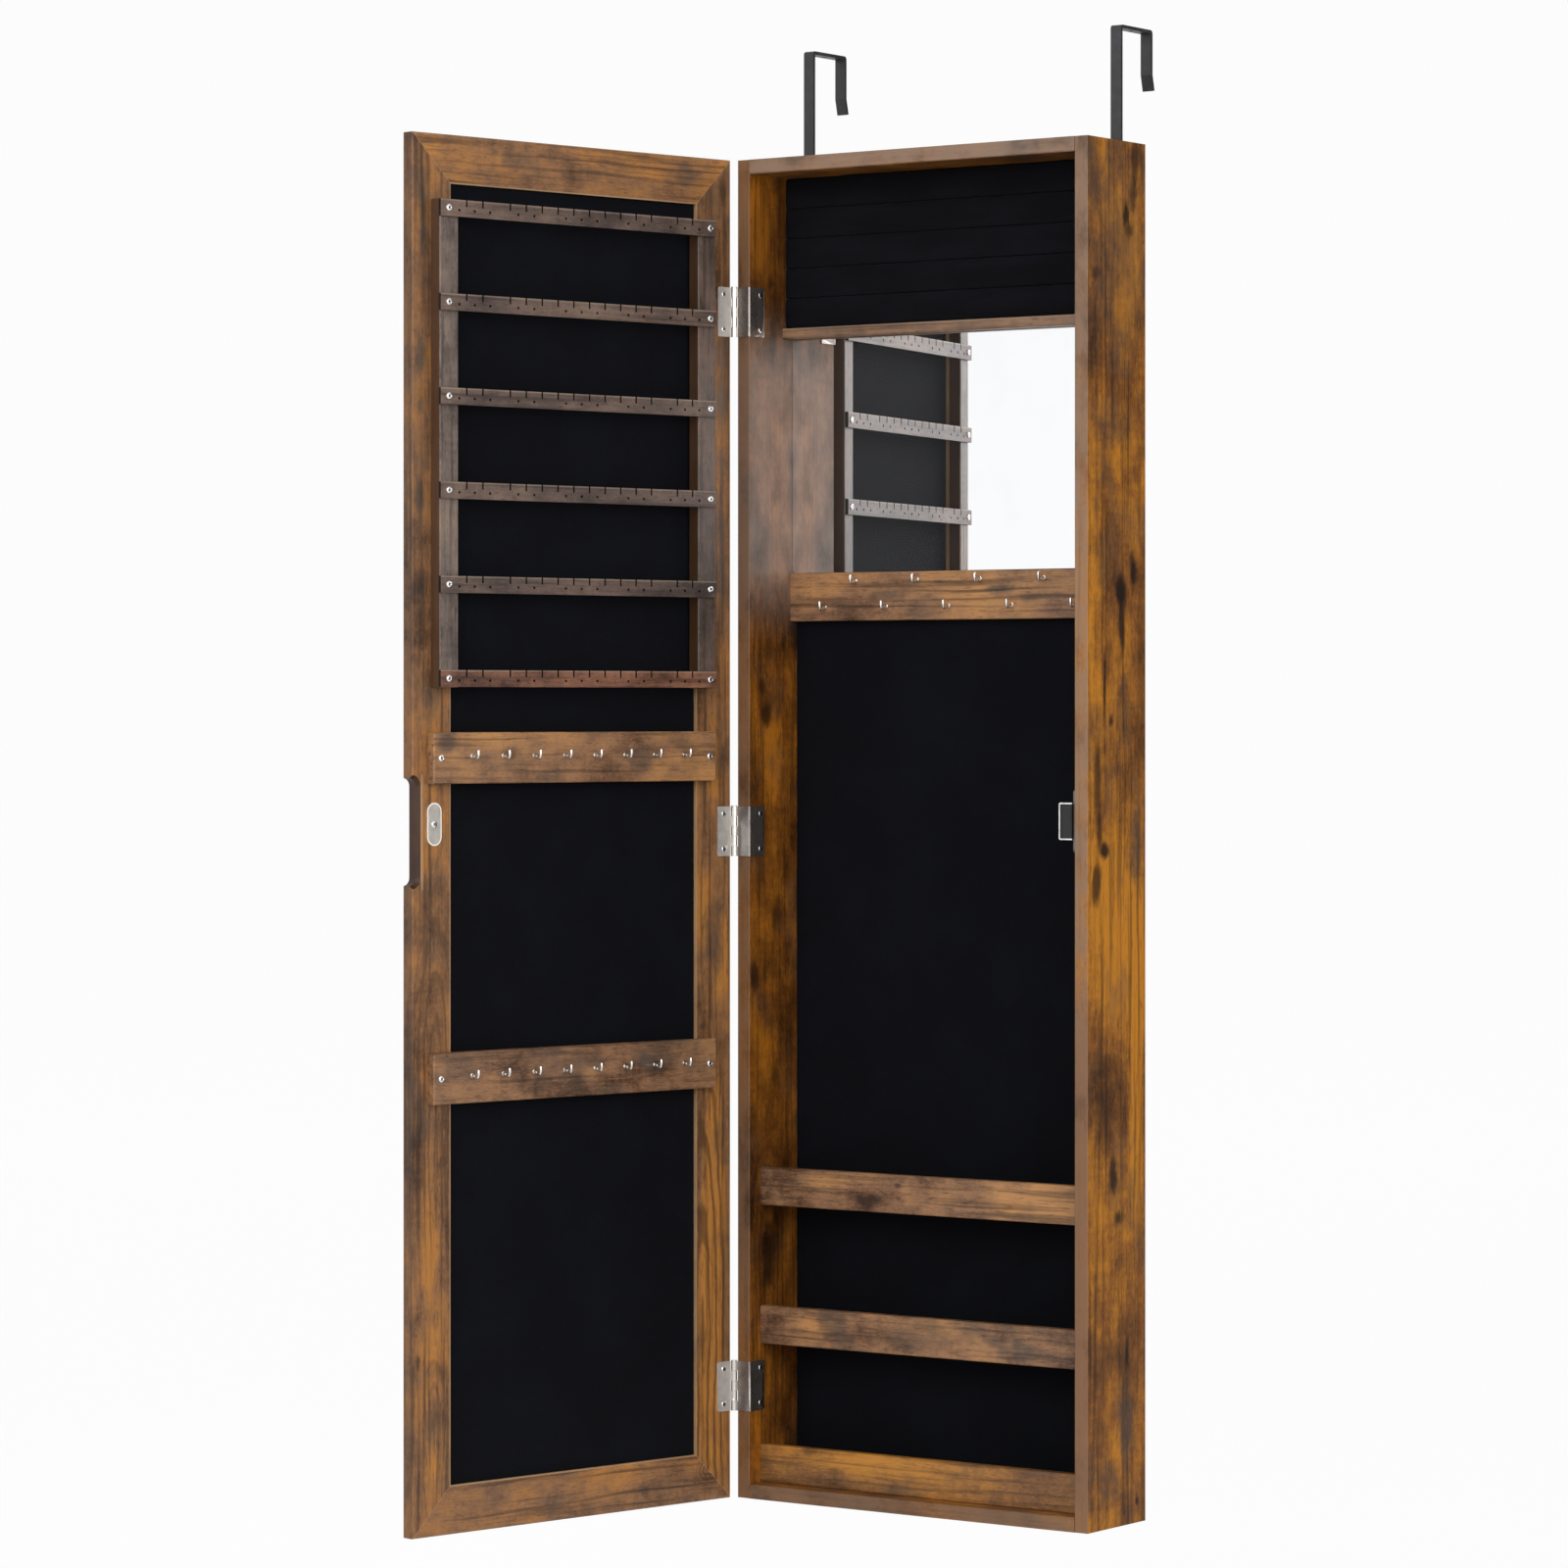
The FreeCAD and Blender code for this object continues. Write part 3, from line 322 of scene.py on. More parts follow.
dress("right_side_panel", smoked_pine(
    "foil_right", "YZ", 1.0, warmth=0.05, smoke=0.35, gloss=0.15, dark_spots=right_knots,
    smudges=right_smudges, glows=right_glows,
    trims=[(pale_strip_and_sheen, edge_strip_and_sheen), (paint("80593c"), low_strip)]))
# The first spot is painted shade over the top of the inner wall.
left_knots_and_shade = [(-60, -190, 70, 75, 0.35), (-63, -208, 6, 10, 0.6), (-60, -1020, 70, 330, 0.12),
              (-70, -599, 7, 11, 0.8), (-76, -573, 5, 8, 0.7), (-88, -834, 5, 14, 0.7),
              (-57, -785, 5, 16, 0.5), (-65, -538, 6, 16, 0.5), (-57, -927, 8, 18, 0.6),
              (-65, -1094, 9, 20, 0.6), (-44, -660, 5, 14, 0.5)]
dress("left_side_panel", smoked_pine(
    "foil_left", "YZ", 2.0, painted_shade_tones, smoke=0.3, gloss=0.15, dark_spots=left_knots_and_shade,
    glows=[(-80, -160, 14, 40, 0.4), (-60, -640, 20, 50, 0.3)],
    arches=[(-65, -1094, 4, 7, 40, 0.4)],
    trims=[(worn_tint, worn_stretch), (brown_strip_and_sheen, edge_strip_and_sheen)]))
dress("top_panel", smoked_pine("foil_top", "YX", 3.0, trims=[(pale_strip_and_sheen, edge_strip_and_sheen)]))
dress("bottom_panel", smoked_pine("foil_bottom", "YX", 4.0, trims=[(brown_strip_and_sheen, edge_strip_and_sheen)]))


# ---- Bare wood that the foil hides ----
# Back board and mirror backings of pressed board, and dowels and mitre biscuits of beech, glued
# into their grooves and holes. The hanging rail wears the case's foil.
def bare_board(name, tint, fleck, scale):
    finish = Finish(name)
    place = finish.place()
    chips = finish.noise(place, scale, 3, 0.65)
    haze = finish.noise(place, scale / 30, 2, 0.5)
    color = finish.mix(tint, fleck, chips.rise(0.45, 0.7))
    color = finish.mix(color, fleck, haze.rise(0.4, 0.7) * 0.4)
    return finish.done(color, chips * 0.15 + 0.75, chips)


hardboard = bare_board("hardboard", paint("6b4a31"), paint("4b3221"), 900)
beech = bare_board("beech", paint("b98f63"), paint("9d7448"), 700)
for name in ("back_board", "mirror_backing", "door_backing"):
    dress(name, hardboard)
for name in ("panel_dowels", "mitre_splines"):
    dress(name, beech)
dress("hanging_rail", smoked_pine("foil_rail", "ZX", 5.0))


# ---- Felt linings ----
# Thin black needled felt, glued to the back board and to the door's backing.
def black_felt(name, tint):
    finish = Finish(name)
    place = finish.place()
    fibres = finish.noise(finish.scaled(place, (1, 1, 0.4)), 2600, 3, 0.6)
    patches = finish.noise(place, 14, 3, 0.6)
    lint = finish.noise(place, 1300, 1, 0.4)
    color = finish.mix(tint, paint("0c0e14"), patches.rise(0.35, 0.75) * 0.5)
    color = finish.mix(color, paint("1d1e22"), lint.rise(0.66, 0.74) * 0.6)
    return finish.done(color, fibres * 0.1 + 0.88, fibres, 0.00025, Specular_IOR_Level=0.12)


felt = black_felt("felt", paint("05060b"))
dress("back_felt", felt)
dress("door_felt", felt)


# ---- Over-door straps ----
# Flat steel strips bent over the room door and powder coated black. Each passes through the top
# board and is screwed into the hanging rail from behind.
def powder_coat():
    finish = Finish("powder_coat")
    place = finish.place()
    grit = finish.noise(place, 1900, 2, 0.5)
    wear = finish.noise(place, 60, 3, 0.6)
    color = finish.mix(paint("1b1b1e"), paint("2b2b2f"), wear.rise(0.4, 0.7))
    return finish.done(color, grit * 0.1 + 0.36 + wear * 0.08, grit, 0.00005)


coat = powder_coat()
dress("left_hanger_strap", coat)
dress("right_hanger_strap", coat)


# ---- Ring shelf and cushion ----
# A narrow foil-wrapped shelf with a foam block on it, covered in black velvet. The block is five
# rolls one above the other, and rings are pushed into the slits between them.
def shelf_arris(finish, place, mottle):
    """The rubbed front arris of the shelf."""
    low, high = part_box("ring_shelf")
    edge = finish.part(place, "Z").rise(high.z - 0.0016, high.z - 0.0006)
    return edge * finish.part(place, "Y").rise(low.y + 0.001, low.y + 0.0004) * 0.55


dress("ring_shelf", smoked_pine(
    "foil_shelf", "ZX", 6.0, (paint("402a1e"), paint("7d6250"), paint("947052")), smoke=0.5,
    trims=[(paint("a98f7c"), shelf_arris)]))

roll_count = 5
slit_gap = 0.0007
roll_crown = 0.0008
roll_round = 0.001
breath_out, breath_up = 0.00012, 0.0001
short_waves, long_waves = 83, 47


def velvet():
    finish = Finish("velvet")
    place = finish.place()
    pile = finish.noise(place, 3000, 2, 0.6)
    brushed = finish.noise(finish.scaled(place, (0.3, 1, 1)), 45, 3, 0.6)
    color = finish.mix(paint("08080c"), paint("0e0f14"), brushed.rise(0.35, 0.7))
    return finish.done(color, pile * 0.1 + 0.86, pile, 0.0002, Specular_IOR_Level=0.1,
                       Sheen_Weight=0.03, Sheen_Roughness=0.4)


def start_piece():
    """Leave edit mode and deselect everything before a new piece."""
    if bpy.context.object and bpy.context.object.mode == "EDIT":
        bpy.ops.object.mode_set(mode="OBJECT")
    bpy.ops.object.select_all(action="DESELECT")


def edit_all():
    """Enter edit mode with the whole mesh selected."""
    bpy.ops.object.mode_set(mode="EDIT")
    bpy.ops.mesh.select_all(action="SELECT")


def apply_all(piece):
    """Apply the modifiers of a piece and fix its place in its mesh."""
    bpy.context.view_layer.objects.active = piece
    piece.select_set(True)
    for modifier in list(piece.modifiers):
        bpy.ops.object.modifier_apply(modifier=modifier.name)
    bpy.ops.object.transform_apply(location=True, rotation=True, scale=True)


def join(pieces, name):
    """Join like pieces into one named object."""
    start_piece()
    for piece in pieces:
        piece.select_set(True)
    bpy.context.view_layer.objects.active = pieces[0]
    bpy.ops.object.join()
    joined = bpy.context.object
    joined.name = name
    joined.data.name = name
    return joined


def finish_piece(piece, material, body, slot, *nodes):
    """Material and body of a finished piece, with the nodes it stands in for hidden. One with finishes
    of its own keeps them.
    """
    if not piece.data.materials:
        piece.data.materials.append(material)
    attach(piece, body)
    if nodes:
        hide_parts(*nodes)
    return piece


def ring_cushion():
    """Five rolls with crowned fronts that waver a little along their length."""
    low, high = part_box("ring_cushion")
    pitch = (high.z - low.z) / roll_count
    size = Vector((high.x - low.x, high.y - low.y, pitch - slit_gap))
    rolls = []
    for index in range(roll_count):
        start_piece()
        middle = Vector(((low.x + high.x) / 2, (low.y + high.y) / 2, low.z + (index + 0.5) * pitch))
        bpy.ops.mesh.primitive_cube_add(size=1, location=middle, scale=size)
        roll = bpy.context.object
        bpy.ops.object.transform_apply(location=True, rotation=False, scale=True)
        edit_all()
        bpy.ops.mesh.subdivide(number_cuts=9)
        bpy.ops.object.mode_set(mode="OBJECT")
        for vertex in roll.data.vertices:
            out = (vertex.co.z - middle.z) / (size.z / 2)
            front = max(0.0, (middle.y - vertex.co.y) / (size.y / 2))
            short = sin(vertex.co.x * short_waves + index * 2.1)
            breath = short + sin(vertex.co.x * long_waves + index)
            vertex.co.y += front * (roll_crown * abs(out) ** 3 + breath_out * breath)
            vertex.co.z += front * breath_up * breath * out
        bevel = roll.modifiers.new("round", "BEVEL")
        bevel.width = roll_round
        bevel.segments = 3
        bevel.angle_limit = radians(50)
        bevel.limit_method = "ANGLE"
        apply_all(roll)
        rolls.append(roll)
    cushion = join(rolls, "ring_cushion_velvet")
    bpy.ops.object.shade_smooth_by_angle(angle=radians(60))
    return cushion


cushion = finish_piece(ring_cushion(), velvet(), "cabinet", "black_velvet", "ring_cushion")


# ---- Inner mirror ----
# A pane of silvered 3 mm glass on its backing, held between the hook board and the ring shelf.
def silvered_glass():
    finish = Finish("silvered_glass")
    smudge = finish.noise(finish.place(), 22, 4, 0.6)
    color = finish.mix(paint("fdfeff"), paint("fbfcfd"), smudge.rise(0.4, 0.7))
    return finish.done(color, smudge.rise(0.55, 0.85) * 0.006 + 0.004, Metallic=0.985)


mirror = silvered_glass()
dress("inner_mirror", mirror)
dress("door_mirror", mirror)


# ---- Shelves, guard rails and hook board of the case ----
# Foil-wrapped boards between the side panels, doweled and glued. Small shelves stand behind the
# two upper guard rails, and the bottom board serves the lowest one.
rail_tones = (paint("452c1c"), paint("8d674a"), paint("b38150"))
low_tones = (paint("3c2312"), paint("7d5530"), paint("b57a30"))
dress("inner_hook_board", smoked_pine(
    "foil_inner_hook_board", "ZX", 7.0, rail_tones, warmth=0.06, smoke=0.45, grain=0.6, figure=0.7,
    smudges=[(-492, -66, 6, 16, 0.6), (-487, 50, 6, 18, 0.7), (-496, 84, 5, 12, 0.5)],
    arches=[(-480, -150, 0.12, 5, 30, 0.4)]))
dress("upper_guard_rail", smoked_pine(
    "foil_upper_guard", "ZX", 8.0, rail_tones, warmth=0.03, smoke=0.55, grain=0.6,
    dark_spots=[(-1030, -54, 6, 12, 0.55), (-1015, -23, 3, 4, 0.7), (-1026, -22, 2, 3, 0.5)],
    glows=[(-1024, 104, 10, 26, 0.3), (-1015, -100, 8, 30, 0.25)]))
dress("middle_guard_rail", smoked_pine(
    "foil_middle_guard", "ZX", 9.3, rail_tones, smoke=0.7, grain=0.6, warmth=-0.04,
    smudges=[(-1150, -5, 10, 30, 0.5), (-1154, 110, 8, 30, 0.5)],
    glows=[(-1143, -113, 9, 26, 0.35)]))
dress("lower_guard_rail", smoked_pine(
    "foil_lower_guard", "ZX", 10.7, low_tones, smoke=0.5, grain=0.45,
    dark_spots=[(-1258, -118, 5, 8, 0.5), (-1272, -92, 5, 9, 0.4)],
    glows=[(-1264, -60, 14, 60, 0.3)]))
for seed, name in enumerate(("middle", "upper")):
    dress(name + "_tray_shelf", smoked_pine("foil_%s_tray" % name, "YX", 11.0 + seed))


# ---- Door frame ----
# Four mitred mouldings in the same foil, grooved for the mirror, its backing and the felt, and
# bevelled round the outside. A finger pull is milled into the free edge and stained dark.
hinge_axis = Vector(frame["joints"][0]["pos_m"])
door_angle = radians(-frame["joints"][0]["range_deg"][0])
frame_width = 0.042
half_width = case_high.x
door_gap = 0.003
door_thick = 0.013
door_face = case_front - door_gap
door_back = case_front - door_gap - door_thick
hairline = 0.0004
pull_middle = -0.699
pull_half = 0.052
pull_reach = 0.0106
pull_stained = 0.013


def closed_door(finish):
    """Object coordinates turned back to the closed door, so that its width lies along X."""
    arm = finish.scaled(finish.place(), (1, 1, 1), tuple(-hinge_axis))
    turned = finish.node("ShaderNodeMapping", {"vector_type": "POINT"},
                         {"Vector": arm, "Rotation": (0, 0, door_angle)})
    return finish.scaled(turned, (1, 1, 1), tuple(hinge_axis))


def from_rim(finish, place):
    """Distances in from the frame's outer sides and from its top or bottom."""
    middle = (case_high.z + case_low.z) / 2
    in_x = half_width - abs(finish.part(place, "X"))
    in_z = (case_high.z - case_low.z) / 2 - abs(finish.part(place, "Z") - middle)
    return in_x, in_z


def mitre_line(finish, place, mottle):
    """The hairline joint between two mouldings."""
    in_x, in_z = from_rim(finish, place)
    return abs(in_x - in_z).rise(hairline, hairline / 2) * 0.6


def opening_lip(finish, place, mottle):
    """The worn lip round the felt."""
    in_x, in_z = from_rim(finish, place)
    lip = in_x.at_most(in_z).rise(frame_width - 0.0016, frame_width - 0.0008)
    return lip * (mottle * 0.8 + 0.3)


def pull_wall(finish, place, mottle):
    """The milled wall of the finger pull, between the two faces of the free stile."""
    depth = finish.part(place, "Y")
    between = depth.rise(door_face - 0.0002, door_face - 0.001)
    between = between * depth.rise(door_back, door_back + 0.0005)
    along = abs(finish.part(place, "Z") - pull_middle).rise(pull_half, pull_half - 0.003)
    side = finish.part(place, "X")
    across = side.rise(half_width - pull_stained, half_width - pull_stained + 0.001)
    across = across * side.rise(half_width - 0.0004, half_width - 0.001)
    return between * along * across * (mottle * 0.3 + 0.8)


def pull_lip(finish, place, mottle):
    """The worn lip where the pull's cove meets the stile's face."""
    face = finish.part(place, "Y").rise(door_face - 0.0012, door_face - 0.0006)
    along = abs(finish.part(place, "Z") - pull_middle).rise(pull_half - 0.002, pull_half - 0.004)
    side = abs(finish.part(place, "X") - (half_width - pull_reach)).rise(0.0013, 0.0005)
    return face * along * side * 0.7


def painted_rim_shade(finish, place, mottle):
    """Painted shade on the frame's outer edge."""
    in_x, in_z = from_rim(finish, place)
    return in_x.at_most(in_z).rise(0.0006, 0.0002) * 0.3


door_tones = (paint("432b1a"), paint("875f3e"), paint("b07638"))
lip_tint = paint("b08d68")
door_trims = [(soot_and_shade, painted_rim_shade), (lip_tint, mitre_line), (lip_tint, opening_lip)]
dress("free_stile", smoked_pine(
    "foil_free_stile", "XZ", 14.0, door_tones, closed_door, warmth=-0.03, smoke=0.5, gloss=0.3,
    dark_spots=[(178, -1151, 3, 8, 0.7), (152, -1161, 6, 10, 0.3)],
    smudges=[(173, -168, 5, 36, 0.75), (174, -291, 6, 14, 0.8), (176, -334, 5, 10, 0.7),
             (176, -412, 5, 18, 0.7), (163, -624, 10, 10, 0.4), (164, -1202, 9, 16, 0.4),
             (174, -491, 5, 20, 0.5), (163, -300, 22, 230, 0.25)],
    glows=[(165, -1010, 10, 110, 0.35), (163, -1200, 14, 90, 0.15)],
    arches=[(158, -900, 6, 6.5, 34, 0.45), (160, -1190, 3.5, 6, 20, 0.3)],
    trims=door_trims + [(paint("2c160a"), pull_wall), (lip_tint, pull_lip)]))
dress("hinge_stile", smoked_pine(
    "foil_hinge_stile", "XZ", 15.0, door_tones, closed_door, smoke=0.45, warmth=0.02,
    dark_spots=[(-174, -132, 5, 14, 0.6)],
    smudges=[(-174, -300, 7, 50, 0.6), (-174, -480, 7, 50, 0.6), (-165, -800, 12, 36, 0.65),
             (-177, -705, 6, 22, 0.5), (-178, -1130, 4, 120, 0.5)],
    glows=[(-163, -1110, 16, 190, 0.9), (-163, -640, 8, 50, 0.3), (-170, -1250, 14, 60, 0.3)],
    arches=[(-150, -1130, 9, 8, 40, 0.65)], trims=door_trims))
dress("door_top_rail", smoked_pine(
    "foil_door_top", "ZX", 16.0, door_tones, closed_door, smoke=0.2, warmth=0.06, figure=0.7,
    smudges=[(-120, 60, 8, 26, 0.3), (-118, -130, 10, 12, 0.5)],
    arches=[(-122, 110, 0.1, 4, 30, 0.3)], trims=door_trims))
dress("door_bottom_rail", smoked_pine(
    "foil_door_bottom", "ZX", 17.0, door_tones, closed_door, smoke=0.25, warmth=-0.02, figure=0.75,
    smudges=[(-1290, 30, 7, 22, 0.3), (-1276, 98, 8, 16, 0.3)],
    arches=[(-1274, -154, 1, 4, 16, 0.7)], trims=door_trims))


# ---- Earring rack ----
# Two foil-wrapped uprights screwed to the door carry six thin bars. Each bar has slots along its
# top edge for ear hooks and small holes for ear posts.
support_depth = 0.012
bar_thick = 0.003
bar_count = 6
support_front = door_face + support_depth
bar_front = support_front + bar_thick


def painted_side_shade(finish, place, mottle):
    """Painted shade: a darker, warmer brown on an upright's side faces."""
    return finish.part(place, "Y").rise(support_front - 0.0006, support_front - 0.001) * 0.85


def bar_painted_shade(finish, place, mottle):
    """Painted shade on every face behind the bar's front: the walls of its slots and holes, and its
    edges.
    """
    return finish.part(place, "Y").rise(bar_front - 0.00005, bar_front - 0.0002) * 0.97


def painted_arris_highlight(top):
    """A painted highlight along the upper arris of a bar with its top at this height."""

    def arris_highlight(finish, place, mottle):
        return finish.part(place, "Z").rise(top - 0.0016, top - 0.0008) * (mottle * 0.6 + 0.1)

    return arris_highlight


grey_tones = (paint("3b302b"), paint("6f6159"), paint("8c7766"))
# A darker copy of the grey tones: painted shade on the upright by the hinge.
painted_shade_grey_tones = (paint("2a211d"), paint("5a4b43"), paint("766055"))
bar_tones = (paint("2f2522"), paint("5b4a42"), paint("7b6557"))
red_tones = (paint("40241a"), paint("7e5541"), paint("9c6b53"))
# Each upright's side faces take painted shade.
dress("free_side_support", smoked_pine(
    "foil_free_support", "XZ", 18.0, grey_tones, closed_door, smoke=0.3, grain=0.75,
    smudges=[(156, -210, 7, 12, 0.7), (152, -250, 8, 10, 0.6), (156, -292, 6, 10, 0.6)],
    trims=[(paint("4c2f17"), painted_side_shade)]))
dress("hinge_side_support", smoked_pine(
    "foil_hinge_support", "XZ", 19.0, painted_shade_grey_tones, closed_door, smoke=0.3, grain=0.75,
    trims=[(paint("3f2713"), painted_side_shade)]))
# Each bar has a painted highlight along its upper arris and painted shade behind its front face.
for index in range(1, bar_count + 1):
    name = "earring_bar_%d" % index
    dress(name, smoked_pine(
        "foil_bar_%d" % index, "ZX", 19.0 + index, red_tones if index == bar_count else bar_tones,
        closed_door, smoke=0.3, grain=0.6,
        trims=[(paint("a3907f"), painted_arris_highlight(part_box(name)[1].z)), (paint("0c0907"), bar_painted_shade)]))


# ---- Hook boards on the door ----
# Two foil-wrapped boards, each screwed to the door's stiles at both ends.
dress("upper_hook_board", smoked_pine(
    "foil_upper_hook_board", "ZX", 27.0, rail_tones, closed_door, warmth=0.04, smoke=0.45, grain=0.55,
    dark_spots=[(-633, 83, 6, 12, 0.55)],
    smudges=[(-624, 154, 10, 12, 0.75), (-652, 39, 7, 16, 0.5), (-638, -69, 11, 18, 0.6),
             (-626, -122, 8, 14, 0.5)]))
dress("lower_hook_board", smoked_pine(
    "foil_lower_hook_board", "ZX", 28.4, rail_tones, closed_door, smoke=0.45, grain=0.55, warmth=-0.03,
    dark_spots=[(-918, 5, 8, 10, 0.5)],
    smudges=[(-905, -10, 8, 16, 0.5), (-903, -75, 7, 14, 0.6), (-930, -35, 7, 18, 0.5)],
    arches=[(-915, 90, 0.15, 5, 34, 0.35)]))


# ---- Jewelry hooks ----
# Bright nickel-plated wire, bent to a cup with an upright arm and pressed into the boards up to a
# small collar. Nine sit in the case and eight on each hook board of the door.
def plated_metal(name, tint, shade, roughness, scratch=(1, 1, 1)):
    finish = Finish(name)
    place = finish.place()
    haze = finish.noise(place, 90, 3, 0.6)
    brush = finish.noise(finish.scaled(place, scratch), 2200, 3, 0.6)
    color = finish.mix(tint, shade, haze.rise(0.4, 0.75) * 0.6 + brush.rise(0.5, 0.8) * 0.25)
    return finish.done(color, brush * 0.14 + haze * 0.08 + roughness, brush, 0.00002, Metallic=1.0)


nickel = plated_metal("nickel", paint("dcd9d4"), paint("a8a39c"), 0.12)
wire = 0.00125
collar_radius = 0.002
collar_thick = 0.0006
stem = 0.0016
dip_radius, dip_turn = 0.0022, 55
cup_radius, cup_turn = 0.0031, 145
arm = 0.0036
tip_step = wire * 0.4


def extrude(offset):
    bpy.ops.mesh.extrude_region_move(TRANSFORM_OT_translate={"value": offset})


def spin_on(centre, angle, steps):
    """Bend the wire on; positive turns its end down. The operator turns the other way."""
    bpy.ops.mesh.spin(steps=steps, angle=-radians(angle), center=centre, axis=(1, 0, 0))


def wire_hook():
    """One hook at the origin, its arm reaching out along -Y and up along +Z."""
    start_piece()
    turn = (radians(90), 0, 0)
    bpy.ops.mesh.primitive_circle_add(vertices=12, radius=wire, fill_type="NGON", rotation=turn)
    hook = bpy.context.object
    bpy.ops.object.transform_apply(location=True, rotation=True, scale=True)
    edit_all()
    extrude((0, -stem, 0))
    spin_on((0, -stem, -dip_radius), dip_turn, 4)
    lean = radians(dip_turn)
    start = Vector((0, -stem - dip_radius * sin(lean), dip_radius * (cos(lean) - 1)))
    centre = start + cup_radius * Vector((0, -sin(lean), cos(lean)))
    spin_on(centre, -cup_turn, 12)
    extrude((0, 0, arm))
    tip = centre + Vector((0, -cup_radius, arm))
    for share in (0.86, 0.5):
        extrude((0, 0, tip_step))
        tip.z += tip_step
        bpy.ops.transform.resize(value=(share, share, 1), center_override=tip)
    bpy.ops.mesh.select_all(action="SELECT")
    bpy.ops.mesh.remove_doubles(threshold=0.00001)
    bpy.ops.mesh.normals_make_consistent(inside=False)
    bpy.ops.object.mode_set(mode="OBJECT")
    bpy.ops.object.shade_smooth_by_angle(angle=radians(50))
    start_piece()
    bpy.ops.mesh.primitive_cylinder_add(vertices=20, radius=collar_radius, depth=collar_thick,
                                        location=(0, -collar_thick / 2, 0), rotation=turn)
    collar = bpy.context.object
    edge = collar.modifiers.new("edge", "BEVEL")
    edge.width = collar_thick * 0.4
    edge.segments = 2
    apply_all(collar)
    bpy.ops.object.shade_smooth_by_angle(angle=radians(40))
    return join([hook, collar], "hook")


def add_to_scene(piece):
    bpy.context.scene.collection.objects.link(piece)


def copies(master, places, name):
    """Copies of the master, one for each matrix, joined into one object."""
    made = []
    for index, matrix in enumerate(places):
        copy = master.copy()
        copy.data = master.data.copy()
        copy.name = "%s_%d" % (name, index)
        add_to_scene(copy)
        copy.data.transform(matrix)
        made.append(copy)
    return join(made, name)


def discard(piece):
    bpy.data.objects.remove(piece)


hook_master = wire_hook()
inner_hook_count = 9
inner_pitch = 0.0332
inner_drops = (0.0309, 0.0074)
board_low, board_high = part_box("inner_hook_board")
inner_places = []
for index in range(inner_hook_count):
    across = (index - inner_hook_count // 2) * inner_pitch
    drop = inner_drops[index % 2]
    inner_places.append(Matrix.Translation((across, board_low.y, board_high.z - drop)))
hooks = copies(hook_master, inner_places, "case_hooks")
finish_piece(hooks, nickel, "cabinet", "bright_hooks", "inner_hooks")

open_door = (Matrix.Translation(hinge_axis) @ Matrix.Rotation(-door_angle, 4, "Z")
             @ Matrix.Translation(-hinge_axis))
face_out = Matrix.Rotation(pi, 4, "Z")
rack_offset = 0.1884
rack_middle = -half_width + rack_offset
board_thick = 0.009
board_shift = 0.0003
door_hook_count = 8
door_pitch = 0.035
hook_rise = 0.0018
hook_shift = 0.0016
first_hook = rack_middle + board_shift - hook_shift - (door_hook_count - 1) / 2 * door_pitch
for name in ("upper", "lower"):
    low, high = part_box(name + "_hook_board")
    z = (low.z + high.z) / 2 + hook_rise
    places = [open_door @ Matrix.Translation((first_hook + index * door_pitch,
                                              door_face + board_thick, z)) @ face_out
              for index in range(door_hook_count)]
    hooks = copies(hook_master, places, name + "_board_hooks")
    finish_piece(hooks, nickel, "door", "bright_hooks", name + "_door_hooks")
discard(hook_master)


# ---- Screws ----
# Zinc-plated cross-recess screws, with painted shade in their recesses. Pan heads hold the bars,
# the hook boards and, in a smaller size, the catch. Countersunk heads hold the hinges, and a
# wider one the strike plate.
head_radius = 0.003
flush_radius = 0.0026
shank_radius = 0.0014
shank_length = 0.004
cross_reach, cross_width, cross_depth = 0.00165, 0.0008, 0.0009
overshoot = 0.0002
first_roll, roll_step = 0.7, 1.9
zinc = plated_metal("zinc", paint("efeeec"), paint("c2c0bd"), 0.14)
# Painted shade for the cross recesses.
recess_painted_shade = plated_metal("recess_painted_shade", paint("3a3836"), paint("24221f"), 0.4)


def cut_away(piece, cutter):
    """Subtract a cutter, with its material, from a piece."""
    cut = piece.modifiers.new("cut", "BOOLEAN")
    cut.operation = "DIFFERENCE"
    cut.solver = "EXACT"
    cut.material_mode = "INDEX"
    cut.object = cutter
    start_piece()
    apply_all(piece)
    discard(cutter)


